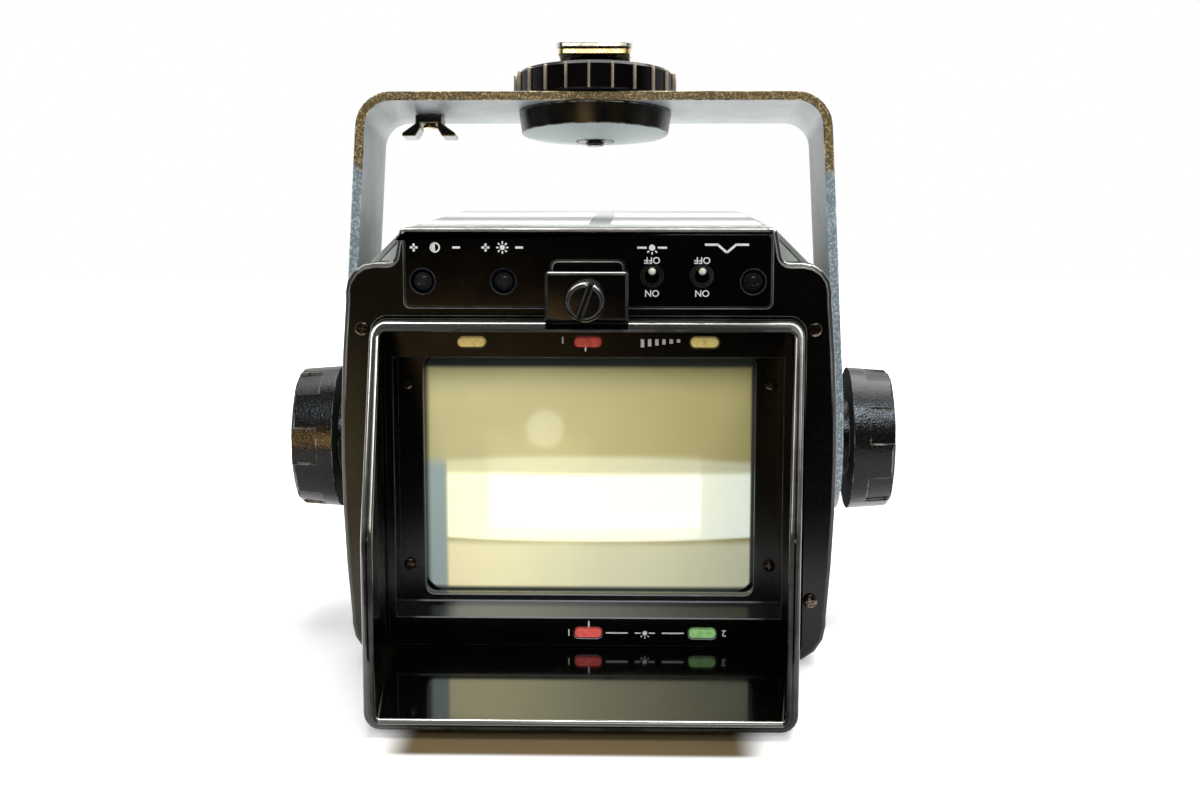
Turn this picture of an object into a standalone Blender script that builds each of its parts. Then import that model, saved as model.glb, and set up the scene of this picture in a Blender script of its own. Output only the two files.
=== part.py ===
"""Studio camera electronic viewfinder, modelled as it stands on a table.

It rests on the face that is its top in use, so the tilt yoke and the camera
shoe point up. The screen faces -Y, +X is to the right and +Z is up. The origin
is on the table, straight below the tilt axis. All lengths are in metres.
"""

import math

import bmesh
import bpy
from mathutils import Matrix, Vector

# Clearances and overruns
SEAT_GAP = 0.0003
CUT_OVERRUN = 0.001
LEAST_WALL = 0.0012

# Where the front face lies from the tilt axis
PIVOT_SETBACK = 0.065
PIVOT_HEIGHT = 0.0582
FRONT = -PIVOT_SETBACK

# Hood, which sets the width and the height of the front
HOOD_BASE_HALF = 0.0635
HOOD_TAPER = 0.0067
HOOD_FRONT_HALF = HOOD_BASE_HALF - HOOD_TAPER
HOOD_WALL = 0.0031
HOOD_FOOT = 0.0016
HOOD_TOP = 0.1041
HOOD_DEPTH = 0.068
HOOD_BEND_Z = 0.052
HOOD_TOP_DEPTH = 0.010
HOOD_BEND_RADIUS = 0.010
HOOD_CORNER = 0.0045
HOOD_SEAT = 0.0040

# Thumbscrew, the hood's lock tab and the boss that it screws into
THUMB_RISE = 0.0067
THUMB_Z = HOOD_TOP + THUMB_RISE
THUMB_HEAD_RADIUS = 0.00565
THUMB_HEAD_LENGTH = 0.0105
THUMB_DOME_STEPS = 4
THUMB_NECK_RADIUS = 0.0040
THUMB_NECK_LENGTH = 0.0045
THUMB_SLOT_WIDTH = 0.0013
THUMB_SLOT_DEPTH = 0.0018
THUMB_SLOT_ANGLE = math.radians(-70)
THUMB_SHANK_RADIUS = 0.0020
THUMB_REACH = 0.0060
TAB_HALF_WIDTH = 0.0120
TAB_ABOVE_THUMB = 0.0075
TAB_TOP = THUMB_Z + TAB_ABOVE_THUMB
TAB_DEPTH = 0.0115
TAB_STAND_OFF = 0.0019
TAB_EDGE = 0.0011
LOCK_BOSS_HALF = 0.0104
LOCK_BOSS_ABOVE_THUMB = 0.0098
LOCK_BOSS_TOP = THUMB_Z + LOCK_BOSS_ABOVE_THUMB
LOCK_BOSS_BELOW_THUMB = 0.0023
LOCK_BOSS_FOOT = THUMB_Z - LOCK_BOSS_BELOW_THUMB
LOCK_BOSS_PROUD = 0.0015

# Screen surround, which fills the hood's seat
BEZEL_HALF = HOOD_BASE_HALF - HOOD_WALL - SEAT_GAP
BEZEL_FOOT = HOOD_FOOT + HOOD_WALL + SEAT_GAP
BEZEL_TOP = HOOD_TOP - HOOD_WALL - SEAT_GAP
BEZEL_CORNER = 0.0028
BEZEL_FLANGE = 0.0037
BEZEL_STEP = 0.0014
BEZEL_REAR_HALF = BEZEL_HALF - BEZEL_STEP
RECESS_DEPTH = 0.010
RECESS_PLANE = FRONT + RECESS_DEPTH
BEZEL_FLOOR = 0.003
BEZEL_DEPTH = RECESS_DEPTH + BEZEL_FLOOR
BEZEL_BACK = FRONT + BEZEL_DEPTH
RECESS_SIDE_WALL = 0.0012
RECESS_LEDGE_RISE = 0.0088
RECESS_LEDGE_FRONT = BEZEL_FOOT + RECESS_LEDGE_RISE
RECESS_LEDGE_SLOPE = 0.0023
RECESS_LEDGE_BACK = RECESS_LEDGE_FRONT + RECESS_LEDGE_SLOPE
RECESS_TOP_WALL = 0.0085
RECESS_TOP = BEZEL_TOP - RECESS_TOP_WALL
WINDOW_SIDE_MARGIN = 0.0101
WINDOW_HALF_WIDTH = BEZEL_HALF - WINDOW_SIDE_MARGIN
WINDOW_FOOT_MARGIN = 0.0022
WINDOW_FOOT = RECESS_LEDGE_BACK + WINDOW_FOOT_MARGIN
WINDOW_TOP_MARGIN = 0.0010
WINDOW_TOP = RECESS_TOP - WINDOW_TOP_MARGIN
WINDOW_RADIUS = 0.003

# Signal lamps and the boards that carry them
LAMP_LENGTH = 0.0081
LAMP_HEIGHT = 0.0028
LAMP_PROUD = 0.0004
LAMP_SPACING_SHARE = 0.684
LAMP_SPACING = WINDOW_HALF_WIDTH * LAMP_SPACING_SHARE
UPPER_LAMP_DROP = 0.0039
UPPER_LAMP_Z = BEZEL_TOP - UPPER_LAMP_DROP
LOWER_LAMP_RISE = 0.0042
LOWER_LAMP_Z = BEZEL_FOOT + LOWER_LAMP_RISE
LAMP_BOARD_THICKNESS = 0.0016
LAMP_BOARD_END_LAP = 0.002
LAMP_BOARD_HALF_WIDTH = WINDOW_HALF_WIDTH + LAMP_BOARD_END_LAP
LAMP_BOARD_HALF_HEIGHT = 0.0026

# Picture tube and what surrounds it
TUBE_SIDE_LAP = 0.0016
TUBE_TOP_LAP = 0.00195
TUBE_HALF_WIDTH = WINDOW_HALF_WIDTH + TUBE_SIDE_LAP
TUBE_HALF_HEIGHT = (WINDOW_TOP - WINDOW_FOOT) / 2 + TUBE_TOP_LAP
TUBE_Z = (WINDOW_FOOT + WINDOW_TOP) / 2
TUBE_CORNER = 0.010
TUBE_FACE_RADIUS = 0.350
TUBE_BEHIND_BEZEL = 0.0015
TUBE_FACE_SINK = BEZEL_DEPTH + TUBE_BEHIND_BEZEL
TUBE_SKIRT = 0.012
TUBE_GLASS = 0.0035
TUBE_FACE_GLASS = 0.006
TUBE_NECK_RADIUS = 0.0102
TUBE_NECK_GLASS = 0.0014
TUBE_FUNNEL = 0.034
TUBE_LENGTH = 0.112
TUBE_FACE_RING_SHARES = (0.33, 0.66, 0.9, 1.0)
TUBE_FUNNEL_RING_SHARES = (0.35, 0.7, 1.0)
MOUNT_PLATE_THICKNESS = 0.002
MOUNT_PLATE_EDGE = 0.0006
BAND_THICKNESS = 0.0010
BAND_WIDTH = 0.008
EAR_WIDTH = 0.0045
COIL_LENGTH = 0.026
COIL_FRONT_RADIUS = 0.026
COIL_REAR_RADIUS = 0.018
SOCKET_RADIUS = 0.0135
SOCKET_LENGTH = 0.006
SOCKET_BOARD_HALF = 0.022
SOCKET_BOARD_THICKNESS = 0.0016

# Front frame
FRAME_MARGIN = 0.0077
FRAME_HALF_WIDTH = HOOD_BASE_HALF + FRAME_MARGIN
FRAME_SIDE_BULGE = 0.0022
FRAME_SHOULDER_RISE = 0.0159
FRAME_SHOULDER_HEIGHT = HOOD_TOP + FRAME_SHOULDER_RISE
FRAME_HUMP_RISE = 0.010
FRAME_HUMP_HEIGHT = FRAME_SHOULDER_HEIGHT + FRAME_HUMP_RISE
FRAME_BEHIND_BEZEL = 0.001
FRAME_DEPTH = BEZEL_DEPTH - FRAME_BEHIND_BEZEL
FRAME_BACK = FRONT + FRAME_DEPTH
FRAME_TOP_RADIUS = 0.0085
FRAME_FOOT_RADIUS = 0.0115
FRAME_FILLET = 0.0026
FRAME_EDGE = 0.0012

# Sheet cover and rear panel
SHELL_STEP_IN = 0.0008
SHELL_HALF_WIDTH = FRAME_HALF_WIDTH - SHELL_STEP_IN
SHELL_SHOULDER_DROP = 0.0055
SHELL_SHOULDER_HEIGHT = FRAME_SHOULDER_HEIGHT - SHELL_SHOULDER_DROP
SHELL_TOP_HEIGHT = FRAME_HUMP_HEIGHT + SEAT_GAP
SHELL_SLOPE_RUN = 0.0159
SHELL_TOP_HALF = SHELL_HALF_WIDTH - SHELL_SLOPE_RUN
SHELL_SHOULDER_RADIUS = 0.008
SHELL_FOOT_RADIUS = 0.011
SHELL_WALL = 0.0016
SHELL_FRONT = FRAME_BACK + SEAT_GAP
SHELL_SPACE_BEHIND_TUBE = 0.0285
SHELL_REAR = FRONT + TUBE_FACE_SINK + TUBE_LENGTH + SHELL_SPACE_BEHIND_TUBE
POST_RADIUS = 0.0036
POST_DEPTH = 0.009
REAR_PANEL_THICKNESS = 0.002
RAIL_DEPTH = 0.003
RAIL_THICKNESS = 0.0016

# The frame's raised middle and the control plate in it
HUMP_SIDE_STEP = 0.0005
FRAME_HUMP_HALF_TOP = SHELL_TOP_HALF + HUMP_SIDE_STEP
HUMP_DRAFT = 0.0018
FRAME_HUMP_HALF_FOOT = FRAME_HUMP_HALF_TOP + HUMP_DRAFT
PANEL_SIDE_MARGIN = 0.0015
PANEL_HALF_WIDTH = FRAME_HUMP_HALF_TOP - PANEL_SIDE_MARGIN
PANEL_ABOVE_HOOD = 0.0031
PANEL_FOOT = HOOD_TOP + PANEL_ABOVE_HOOD
PANEL_TOP_MARGIN = 0.0016
PANEL_TOP = FRAME_HUMP_HEIGHT - PANEL_TOP_MARGIN
PANEL_RADIUS = 0.0018
PANEL_THICKNESS = 0.0012

# Turning controls
CONTROL_RISE = 0.0074
CONTROL_Z = PANEL_FOOT + CONTROL_RISE
CONTRAST_FROM_END = 0.0051
CONTRAST_X = CONTRAST_FROM_END - PANEL_HALF_WIDTH
BRIGHT_FROM_TAB = 0.0127
BRIGHT_X = -TAB_HALF_WIDTH - BRIGHT_FROM_TAB
PEAKING_FROM_END = 0.0053
PEAKING_X = PANEL_HALF_WIDTH - PEAKING_FROM_END
WELL_RADIUS = 0.0037
KNOB_RADIUS = 0.0026
KNOB_FRONT_SINK = 0.0004
KNOB_LENGTH = 0.0042
KNOB_SLOT_WIDTH = 0.0008
KNOB_SLOT_DEPTH = 0.0010
KNOB_SHAFT_RADIUS = 0.0015
POT_HALF_WIDTH = 0.0048
POT_DEPTH = 0.0055
CONTROL_BOARD_THICKNESS = 0.0016
CONTROL_BOARD_HALF_HEIGHT = 0.0085

# Toggle switches
SWITCH_RISE = 0.0091
SWITCH_Z = PANEL_FOOT + SWITCH_RISE
TALLY_FROM_TAB = 0.0067
TALLY_SWITCH_X = TAB_HALF_WIDTH + TALLY_FROM_TAB
PEAKING_SWITCH_SHARE = 0.4915
PEAKING_SWITCH_X = TALLY_SWITCH_X + (PEAKING_X - TALLY_SWITCH_X) * PEAKING_SWITCH_SHARE
BUSH_RADIUS = 0.0029
BUSH_BORE = 0.0022
BUSH_PROUD = 0.0010
BUSH_CAVITY_DEPTH = 0.0065
LEVER_TIP_RADIUS = 0.0012
LEVER_ROOT_RADIUS = 0.0008
LEVER_BALL_RADIUS = 0.0018
LEVER_LENGTH = 0.0095
LEVER_PIVOT_SINK = 0.0034
LEVER_REST_ANGLE = math.radians(12)
LEVER_HALF_TURN_STEPS = 8
SWITCH_HALF_WIDTH = 0.0032
SWITCH_HALF_HEIGHT = 0.0060

# Yoke, pivots and tilt knobs
YOKE_LEAN = math.radians(8)
PIVOT_STACK = 0.0099
YOKE_HALF_AT_PIVOT = SHELL_HALF_WIDTH + PIVOT_STACK
YOKE_DRAFT = 0.0041
YOKE_HALF_AT_TOP = YOKE_HALF_AT_PIVOT - YOKE_DRAFT
YOKE_THICKNESS = 0.003
YOKE_STRIP_HALF = 0.0235
YOKE_BAR_CLEARANCE = 0.0362
YOKE_BAR_HEIGHT = SHELL_TOP_HEIGHT - PIVOT_HEIGHT + YOKE_BAR_CLEARANCE
YOKE_CORNER = 0.0115
YOKE_PAD_HEIGHT = 0.012
STUD_RADIUS = 0.003
WASHER_THICKNESS = 0.0012
WASHER_RADIUS = 0.0140
BOSS_RADIUS = 0.0120
BOSS_NECK_RADIUS = 0.0075
TILT_KNOB_RADIUS = 0.0235
TILT_KNOB_TAPER = 0.0009
TILT_KNOB_LENGTH = 0.0170
TILT_KNOB_END = YOKE_HALF_AT_PIVOT + TILT_KNOB_LENGTH
TILT_KNOB_HUB_RADIUS = 0.0125
TILT_KNOB_HUB_LENGTH = 0.0032
TILT_KNOB_CHAMFER = 0.0010
TILT_KNOB_POCKETS = 6
TILT_KNOB_POCKET_ANGLE = math.radians(30)
TILT_KNOB_POCKET_DEPTH = 0.0011
TILT_KNOB_POCKET_STEPS = 4
TILT_KNOB_PLAIN_LENGTH = 0.0088
TILT_KNOB_POCKET_START = YOKE_HALF_AT_PIVOT + TILT_KNOB_PLAIN_LENGTH
LEFT_KNOB_TURN = 0.0
RIGHT_KNOB_TURN = math.radians(-18.7)

# Swivel, lock wheel and camera shoe on the yoke's bar
FLANGE_RADIUS = 0.0255
FLANGE_HEIGHT = 0.0072
FLANGE_TAPER = 0.0012
FLANGE_CONE = 0.0024
STEM_RADIUS = 0.0060
CENTRE_SCREW_RADIUS = 0.0033
CENTRE_SCREW_HEAD = 0.0012
CENTRE_SCREW_SHANK = 0.0022
CENTRE_SCREW_REACH = 0.010
WHEEL_RADIUS = 0.0272
WHEEL_HEIGHT = 0.0098
WHEEL_RIBS = 22
WHEEL_RIB_STEPS = 4
WHEEL_GROOVE = 0.0008
WHEEL_EDGE = 0.0012
WHEEL_COLLAR = 0.0033
BRASS_THICKNESS = 0.0019
BRASS_INSET = 0.0006
SHOE_HALF_WIDTH = 0.0124
SHOE_HALF_LENGTH = 0.0150
SHOE_CORNER = 0.0025
SHOE_PLATE_THICKNESS = 0.0020
WHEEL_FOOT = YOKE_BAR_HEIGHT + YOKE_THICKNESS + SEAT_GAP
BRASS_FOOT = WHEEL_FOOT + WHEEL_HEIGHT + WHEEL_COLLAR + SEAT_GAP
SHOE_PLATE_FOOT = BRASS_FOOT + BRASS_THICKNESS + SEAT_GAP
SHOE_TOP_HEIGHT = SHOE_PLATE_FOOT + SHOE_PLATE_THICKNESS

# Cable clip under the bar
CLIP_FROM_CORNER = 0.0200
CLIP_X = CLIP_FROM_CORNER - YOKE_HALF_AT_TOP
CLIP_Y = 0.008
CLIP_HALF_BODY = 0.0045
CLIP_HALF_FOOT = 0.0090
CLIP_DROP = 0.0071
CLIP_BACK = 0.0026
CLIP_NECK_SHARE = 0.62
CLIP_LEG = 0.0016
CLIP_HALF_LENGTH = 0.005
CLIP_RIVET_RADIUS = 0.0015
CLIP_RIVET_HEAD = 0.0024
CLIP_RIVET_HEAD_HEIGHT = 0.0009

# Chassis tray and boards
TRAY_DROP = 0.0105
TRAY_Z = SHELL_SHOULDER_HEIGHT - TRAY_DROP
TRAY_THICKNESS = 0.0012
TRAY_SETBACK = 0.035
TRAY_FRONT = FRONT + TRAY_SETBACK
TRAY_REAR_SPACE = 0.008
TRAY_REAR = SHELL_REAR - TRAY_REAR_SPACE
STANDOFF_RADIUS = 0.003
STANDOFF_HEIGHT = 0.005
BOARD_THICKNESS = 0.0016
BOARD_INSET = 0.006
CAPACITOR_RADIUS = 0.005
CAPACITOR_HEIGHT = 0.011
CAPACITOR_SPACING = 0.025
FLYBACK_HALF = 0.014
FLYBACK_HEIGHT = 0.030
FLYBACK_CORE = 0.006
FLYBACK_PLACE_SHARE = 0.4915
FLYBACK_ROOM = SHELL_HALF_WIDTH - SHELL_WALL - SOCKET_BOARD_HALF
FLYBACK_X = SOCKET_BOARD_HALF + FLYBACK_ROOM * FLYBACK_PLACE_SHARE
FLYBACK_FROM_TRAY_END = 0.034
FLYBACK_Y = TRAY_REAR - FLYBACK_FROM_TRAY_END

# Rear connector
CONNECTOR_FROM_SIDE = 0.0354
CONNECTOR_X = CONNECTOR_FROM_SIDE - SHELL_HALF_WIDTH
CONNECTOR_Z = 0.032
CONNECTOR_RADIUS = 0.0125
CONNECTOR_WALL = 0.0018
CONNECTOR_PROUD = 0.009
CONNECTOR_SUNK = 0.010
CONNECTOR_FLANGE_HALF = 0.016
CONNECTOR_FLANGE_THICKNESS = 0.002
CONNECTOR_PIN_RADIUS = 0.0008
CONNECTOR_PIN_LENGTH = 0.005
CONNECTOR_PIN_COUNT = 8

# Cross-head screws
FRAME_SCREW_HEAD = 0.0021
FRAME_SCREW_SHANK = 0.0012
FRAME_SCREW_BITE = 0.004
FRAME_SCREW_LENGTH = FRAME_DEPTH + FRAME_SCREW_BITE
FRAME_SCREW_FROM_SIDE = 0.005
FRAME_SCREW_X = FRAME_HALF_WIDTH - FRAME_SCREW_FROM_SIDE
FRAME_SCREW_BELOW_SHOULDER = 0.0193
FRAME_SCREW_UPPER_Z = FRAME_SHOULDER_HEIGHT - FRAME_SCREW_BELOW_SHOULDER
FRAME_SCREW_LOWER_Z = 0.0194
SMALL_SCREW_HEAD = 0.0018
SMALL_SCREW_SHANK = 0.0010
BEZEL_SCREW_BITE = 0.0025
BEZEL_SCREW_LENGTH = BEZEL_FLOOR + MOUNT_PLATE_THICKNESS + BEZEL_SCREW_BITE
BEZEL_SCREW_FROM_SIDE = 0.0055
BEZEL_SCREW_X = BEZEL_HALF - BEZEL_SCREW_FROM_SIDE
BEZEL_SCREW_BELOW_TOP = 0.0092
BEZEL_SCREW_UPPER_Z = RECESS_TOP - BEZEL_SCREW_BELOW_TOP
BEZEL_SCREW_ABOVE_LEDGE = 0.0116
BEZEL_SCREW_LOWER_Z = RECESS_LEDGE_BACK + BEZEL_SCREW_ABOVE_LEDGE
HEAD_HEIGHT_SHARE = 0.62
CROSS_WIDTH_SHARE = 0.30
CROSS_DEPTH_SHARE = 0.55

# Facets
ROUND_SIDES = 32
SMALL_SIDES = 16
SCREW_SIDES = 10
CORNER_STEPS = 5
SIDE_STEPS = 6

POT_NAMES = ("contrast", "bright", "peaking")
SWITCH_NAMES = ("tally", "peaking")


def clear_scene():
    """Start from an empty scene."""
    for item in list(bpy.data.objects):
        bpy.data.objects.remove(item, do_unlink=True)


# Outlines

def rounded(corners, steps=CORNER_STEPS):
    """Return an outline whose corners (u, v, radius) are turned into arcs."""
    points = []
    count = len(corners)
    for index, (u, v, radius) in enumerate(corners):
        here = Vector((u, v))
        if radius == 0:
            points.append(here)
            continue
        before = Vector(corners[index - 1][:2]) - here
        after = Vector(corners[(index + 1) % count][:2]) - here
        before.normalize()
        after.normalize()
        half = before.angle(after) / 2
        reach = radius / math.tan(half)
        centre = here + (before + after).normalized() * (radius / math.sin(half))
        start = here + before * reach - centre
        turn = start.angle_signed(here + after * reach - centre)
        for step in range(steps + 1):
            angle = -turn * step / steps
            points.append(centre + Matrix.Rotation(angle, 2) @ start)
    return points


def mirrored(right_half):
    """Return the closed outline of a right half given from foot to top."""
    left_half = [(-u, v, radius) for u, v, radius in reversed(right_half)]
    return right_half + left_half


def box_outline(low_u, high_u, low_v, high_v, radius=0, steps=CORNER_STEPS):
    """Return a rectangle with rounded corners."""
    corners = [(low_u, low_v), (high_u, low_v), (high_u, high_v), (low_u, high_v)]
    return rounded([(u, v, radius) for u, v in corners], steps)


def circle(radius, sides, centre=(0, 0), first=0.0):
    """Return a regular outline round a centre."""
    turns = [first + 2 * math.pi * index / sides for index in range(sides)]
    return [Vector((centre[0] + radius * math.cos(a), centre[1] + radius * math.sin(a)))
            for a in turns]


def offset(outline, distance):
    """Return an anticlockwise outline moved inwards by a distance."""
    moved = []
    count = len(outline)
    for index, point in enumerate(outline):
        before = (point - outline[index - 1]).normalized()
        after = (outline[(index + 1) % count] - point).normalized()
        normal_before = Vector((-before.y, before.x))
        normal_after = Vector((-after.y, after.x))
        normal = (normal_before + normal_after).normalized()
        moved.append(point + normal * (distance / normal.dot(normal_after)))
    return moved


# Solids

def to_space(point, axis, along):
    """Place an outline's point at a distance along the named axis."""
    u, v = point
    if axis == "X":
        return Vector((along, u, v))
    if axis == "Y":
        return Vector((u, along, v))
    return Vector((u, v, along))


def loft(rings, ring_shaped=False):
    """Join rings of points into one closed solid; a ring may be one point."""
    shape = bmesh.new()
    loops = [[shape.verts.new(point) for point in ring] for ring in rings]
    pairs = list(zip(loops, loops[1:]))
    if ring_shaped:
        pairs.append((loops[-1], loops[0]))
    for lower, upper in pairs:
        count = max(len(lower), len(upper))
        for index in range(count):
            following = (index + 1) % count
            corners = [lower[index % len(lower)], lower[following % len(lower)],
                       upper[following % len(upper)], upper[index % len(upper)]]
            distinct = list(dict.fromkeys(corners))
            shape.faces.new(distinct)
    if not ring_shaped:
        for end in (loops[0], loops[-1]):
            if len(end) > 2:
                shape.faces.new(end)
    bmesh.ops.recalc_face_normals(shape, faces=shape.faces)
    return shape


def slab(outline, axis, low, high, low_edge=0, high_edge=0):
    """Extrude an outline between two places, with optional chamfered ends."""
    layers = []
    if low_edge:
        layers.append((offset(outline, low_edge), low))
    layers.append((outline, low + low_edge))
    layers.append((outline, high - high_edge))
    if high_edge:
        layers.append((offset(outline, high_edge), high))
    return loft([[to_space(p, axis, along) for p in ring] for ring, along in layers])


def box(low_x, high_x, low_y, high_y, low_z, high_z):
    """Return a plain block."""
    return slab(box_outline(low_x, high_x, low_y, high_y), "Z", low_z, high_z)


def turned(profile, sides, axis="Z", centre=(0, 0), closed=False):
    """Turn a profile of (radius, height) points about an axis."""
    rings = []
    for radius, height in profile:
        outline = [Vector(centre)] if radius == 0 else circle(radius, sides, centre)
        rings.append([to_space(point, axis, height) for point in outline])
    return loft(rings, ring_shaped=closed)


def cylinder(radius, low, high, sides, axis="Z", centre=(0, 0)):
    """Return a round rod or disc."""
    return turned([(radius, low), (radius, high)], sides, axis, centre)


def boolean(shape, tool, operation):
    """Combine two solids and return the result."""
    holders = []
    for name, piece in (("shape", shape), ("tool", tool)):
        mesh = bpy.data.meshes.new(name)
        piece.to_mesh(mesh)
        piece.free()
        holder = bpy.data.objects.new(name, mesh)
        bpy.context.scene.collection.objects.link(holder)
        holders.append(holder)
    target, cutter = holders
    step = target.modifiers.new(operation, "BOOLEAN")
    step.operation = operation
    step.solver = "EXACT"
    step.object = cutter
    graph = bpy.context.evaluated_depsgraph_get()
    result = bmesh.new()
    result.from_mesh(target.evaluated_get(graph).to_mesh())
    for holder in holders:
        mesh = holder.data
        bpy.data.objects.remove(holder, do_unlink=True)
        bpy.data.meshes.remove(mesh)
    return result


def cut(shape, *tools):
    """Cut every tool out of a solid."""
    for tool in tools:
        shape = boolean(shape, tool, "DIFFERENCE")
    return shape


def join(shape, *tools):
    """Unite solids that overlap."""
    for tool in tools:
        shape = boolean(shape, tool, "UNION")
    return shape


def spun(shape, angle, axis, centre):
    """Turn a solid about an axis through a point."""
    bmesh.ops.rotate(shape, verts=shape.verts, cent=centre,
                     matrix=Matrix.Rotation(angle, 3, axis))
    return shape


# Materials and nodes

def material(name, colour, roughness, metallic=0.0):
    """Return a plain material for a sub-part."""
    made = bpy.data.materials.new(name)
    made.use_nodes = True
    shader = made.node_tree.nodes["Principled BSDF"]
    shader.inputs["Base Color"].default_value = (*colour, 1.0)
    shader.inputs["Roughness"].default_value = roughness
    shader.inputs["Metallic"].default_value = metallic
    made.diffuse_color = (*colour, 1.0)
    return made


def carrier(name, location=(0, 0, 0), lean=0.0, parent=None):
    """Return an empty that carries a moving group on its joint's axis."""
    empty = bpy.data.objects.new(name, None)
    bpy.context.scene.collection.objects.link(empty)
    empty.location = location
    empty.rotation_euler = (lean, 0, 0)
    empty.parent = parent
    return empty


def node(name, shape, finish, parent=None, location=(0, 0, 0)):
    """Make a named sub-part from a solid."""
    mesh = bpy.data.meshes.new(name)
    bmesh.ops.remove_doubles(shape, verts=shape.verts, dist=SEAT_GAP / 100)
    shape.to_mesh(mesh)
    shape.free()
    mesh.shade_smooth()
    mesh.set_sharp_from_angle(angle=math.radians(30))
    mesh.materials.append(finish)
    made = bpy.data.objects.new(name, mesh)
    bpy.context.scene.collection.objects.link(made)
    made.location = location
    made.parent = parent
    return made


BLACK_PAINT = (0.022, 0.022, 0.024)
GLOSS_BLACK = (0.012, 0.012, 0.014)
GREY_PAINT = (0.42, 0.42, 0.41)
STEEL = (0.55, 0.54, 0.52)


# Front frame, cover and rear panel

def frame_outline():
    """Outline of the front frame, foot to hump, seen from the front."""
    right = [(FRAME_HALF_WIDTH, 0, FRAME_FOOT_RADIUS)]
    low = FRAME_FOOT_RADIUS + FRAME_FILLET
    high = FRAME_SHOULDER_HEIGHT - FRAME_TOP_RADIUS - FRAME_FILLET
    for step in range(SIDE_STEPS + 1):
        share = step / SIDE_STEPS
        bulge = FRAME_SIDE_BULGE * (1 - (2 * share - 1) ** 2)
        right.append((FRAME_HALF_WIDTH + bulge, low + (high - low) * share, 0))
    right.append((FRAME_HALF_WIDTH, FRAME_SHOULDER_HEIGHT, FRAME_TOP_RADIUS))
    right.append((FRAME_HUMP_HALF_FOOT, FRAME_SHOULDER_HEIGHT, FRAME_FILLET))
    right.append((FRAME_HUMP_HALF_TOP, FRAME_HUMP_HEIGHT, FRAME_EDGE))
    return rounded(mirrored(right), steps=4)


def shell_outline():
    """Outline of the sheet cover, with its sloping shoulders."""
    right = [
        (SHELL_HALF_WIDTH, 0, SHELL_FOOT_RADIUS),
        (SHELL_HALF_WIDTH, SHELL_SHOULDER_HEIGHT, SHELL_SHOULDER_RADIUS),
        (SHELL_TOP_HALF, SHELL_TOP_HEIGHT, SHELL_SHOULDER_RADIUS),
    ]
    return rounded(mirrored(right))


def frame_screw_places():
    """Centres (x, z) of the four screws that hold the frame."""
    return [(side * FRAME_SCREW_X, z) for side in (-1, 1)
            for z in (FRAME_SCREW_LOWER_Z, FRAME_SCREW_UPPER_Z)]


def pot_places():
    """Centres (x, z) of the three turning controls."""
    return [(x, CONTROL_Z) for x in (CONTRAST_X, BRIGHT_X, PEAKING_X)]


def switch_places():
    """Centres (x, z) of the two toggle switches."""
    return [(x, SWITCH_Z) for x in (TALLY_SWITCH_X, PEAKING_SWITCH_X)]


def hood_section(half, inset):
    """The hood's cross-section at a given half width, moved in by an inset."""
    radius = max(HOOD_CORNER - inset, LEAST_WALL)
    return box_outline(-half + inset, half - inset, HOOD_FOOT + inset,
                       HOOD_TOP - inset, radius)


def frame_opening():
    """Outline of the hole behind the hood's seat, which holds the bezel."""
    half = BEZEL_REAR_HALF + SEAT_GAP
    return box_outline(-half, half, BEZEL_FOOT + BEZEL_STEP - SEAT_GAP,
                       BEZEL_TOP - BEZEL_STEP + SEAT_GAP, BEZEL_CORNER)


def make_front_frame():
    """Moulded front frame with the hood's seat, the panel recess and bores."""
    shape = slab(frame_outline(), "Y", FRONT, FRAME_BACK, low_edge=FRAME_EDGE)
    boss = slab(box_outline(-LOCK_BOSS_HALF, LOCK_BOSS_HALF, LOCK_BOSS_FOOT,
                            LOCK_BOSS_TOP, PANEL_RADIUS),
                "Y", FRONT - LOCK_BOSS_PROUD,
                FRONT + PANEL_THICKNESS + SEAT_GAP + CUT_OVERRUN)
    recess = slab(panel_outline(-SEAT_GAP), "Y", FRONT - CUT_OVERRUN,
                  FRONT + PANEL_THICKNESS + SEAT_GAP)
    seat = slab(hood_section(HOOD_BASE_HALF, -SEAT_GAP), "Y", FRONT - CUT_OVERRUN,
                FRONT + HOOD_SEAT + SEAT_GAP)
    opening = slab(frame_opening(), "Y", FRONT, FRAME_BACK + CUT_OVERRUN)
    shape = cut(shape, recess, seat, opening)
    shape = join(shape, boss)
    for x, z in frame_screw_places():
        shape = cut(shape, cylinder(FRAME_SCREW_SHANK + SEAT_GAP, FRONT - CUT_OVERRUN,
                                    FRAME_BACK + CUT_OVERRUN, SCREW_SIDES, "Y", (x, z)))
    for x, z in pot_places():
        shape = cut(shape, cylinder(WELL_RADIUS, FRONT - CUT_OVERRUN,
                                    FRAME_BACK + CUT_OVERRUN, SMALL_SIDES, "Y", (x, z)))
    for x, z in switch_places():
        shape = cut(shape, cylinder(BUSH_RADIUS + SEAT_GAP, FRONT - CUT_OVERRUN,
                                    FRAME_BACK + CUT_OVERRUN, SMALL_SIDES, "Y", (x, z)))
    thread = cylinder(THUMB_SHANK_RADIUS + SEAT_GAP, FRONT - LOCK_BOSS_PROUD - CUT_OVERRUN,
                      FRONT + THUMB_REACH + CUT_OVERRUN, SCREW_SIDES, "Y", (0, THUMB_Z))
    shape = cut(shape, thread)
    return node("front_frame", shape, material("frame_paint", BLACK_PAINT, 0.4))


def rail_top():
    """Height at which the chassis tray rests on its rails."""
    return TRAY_Z - SEAT_GAP


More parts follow.
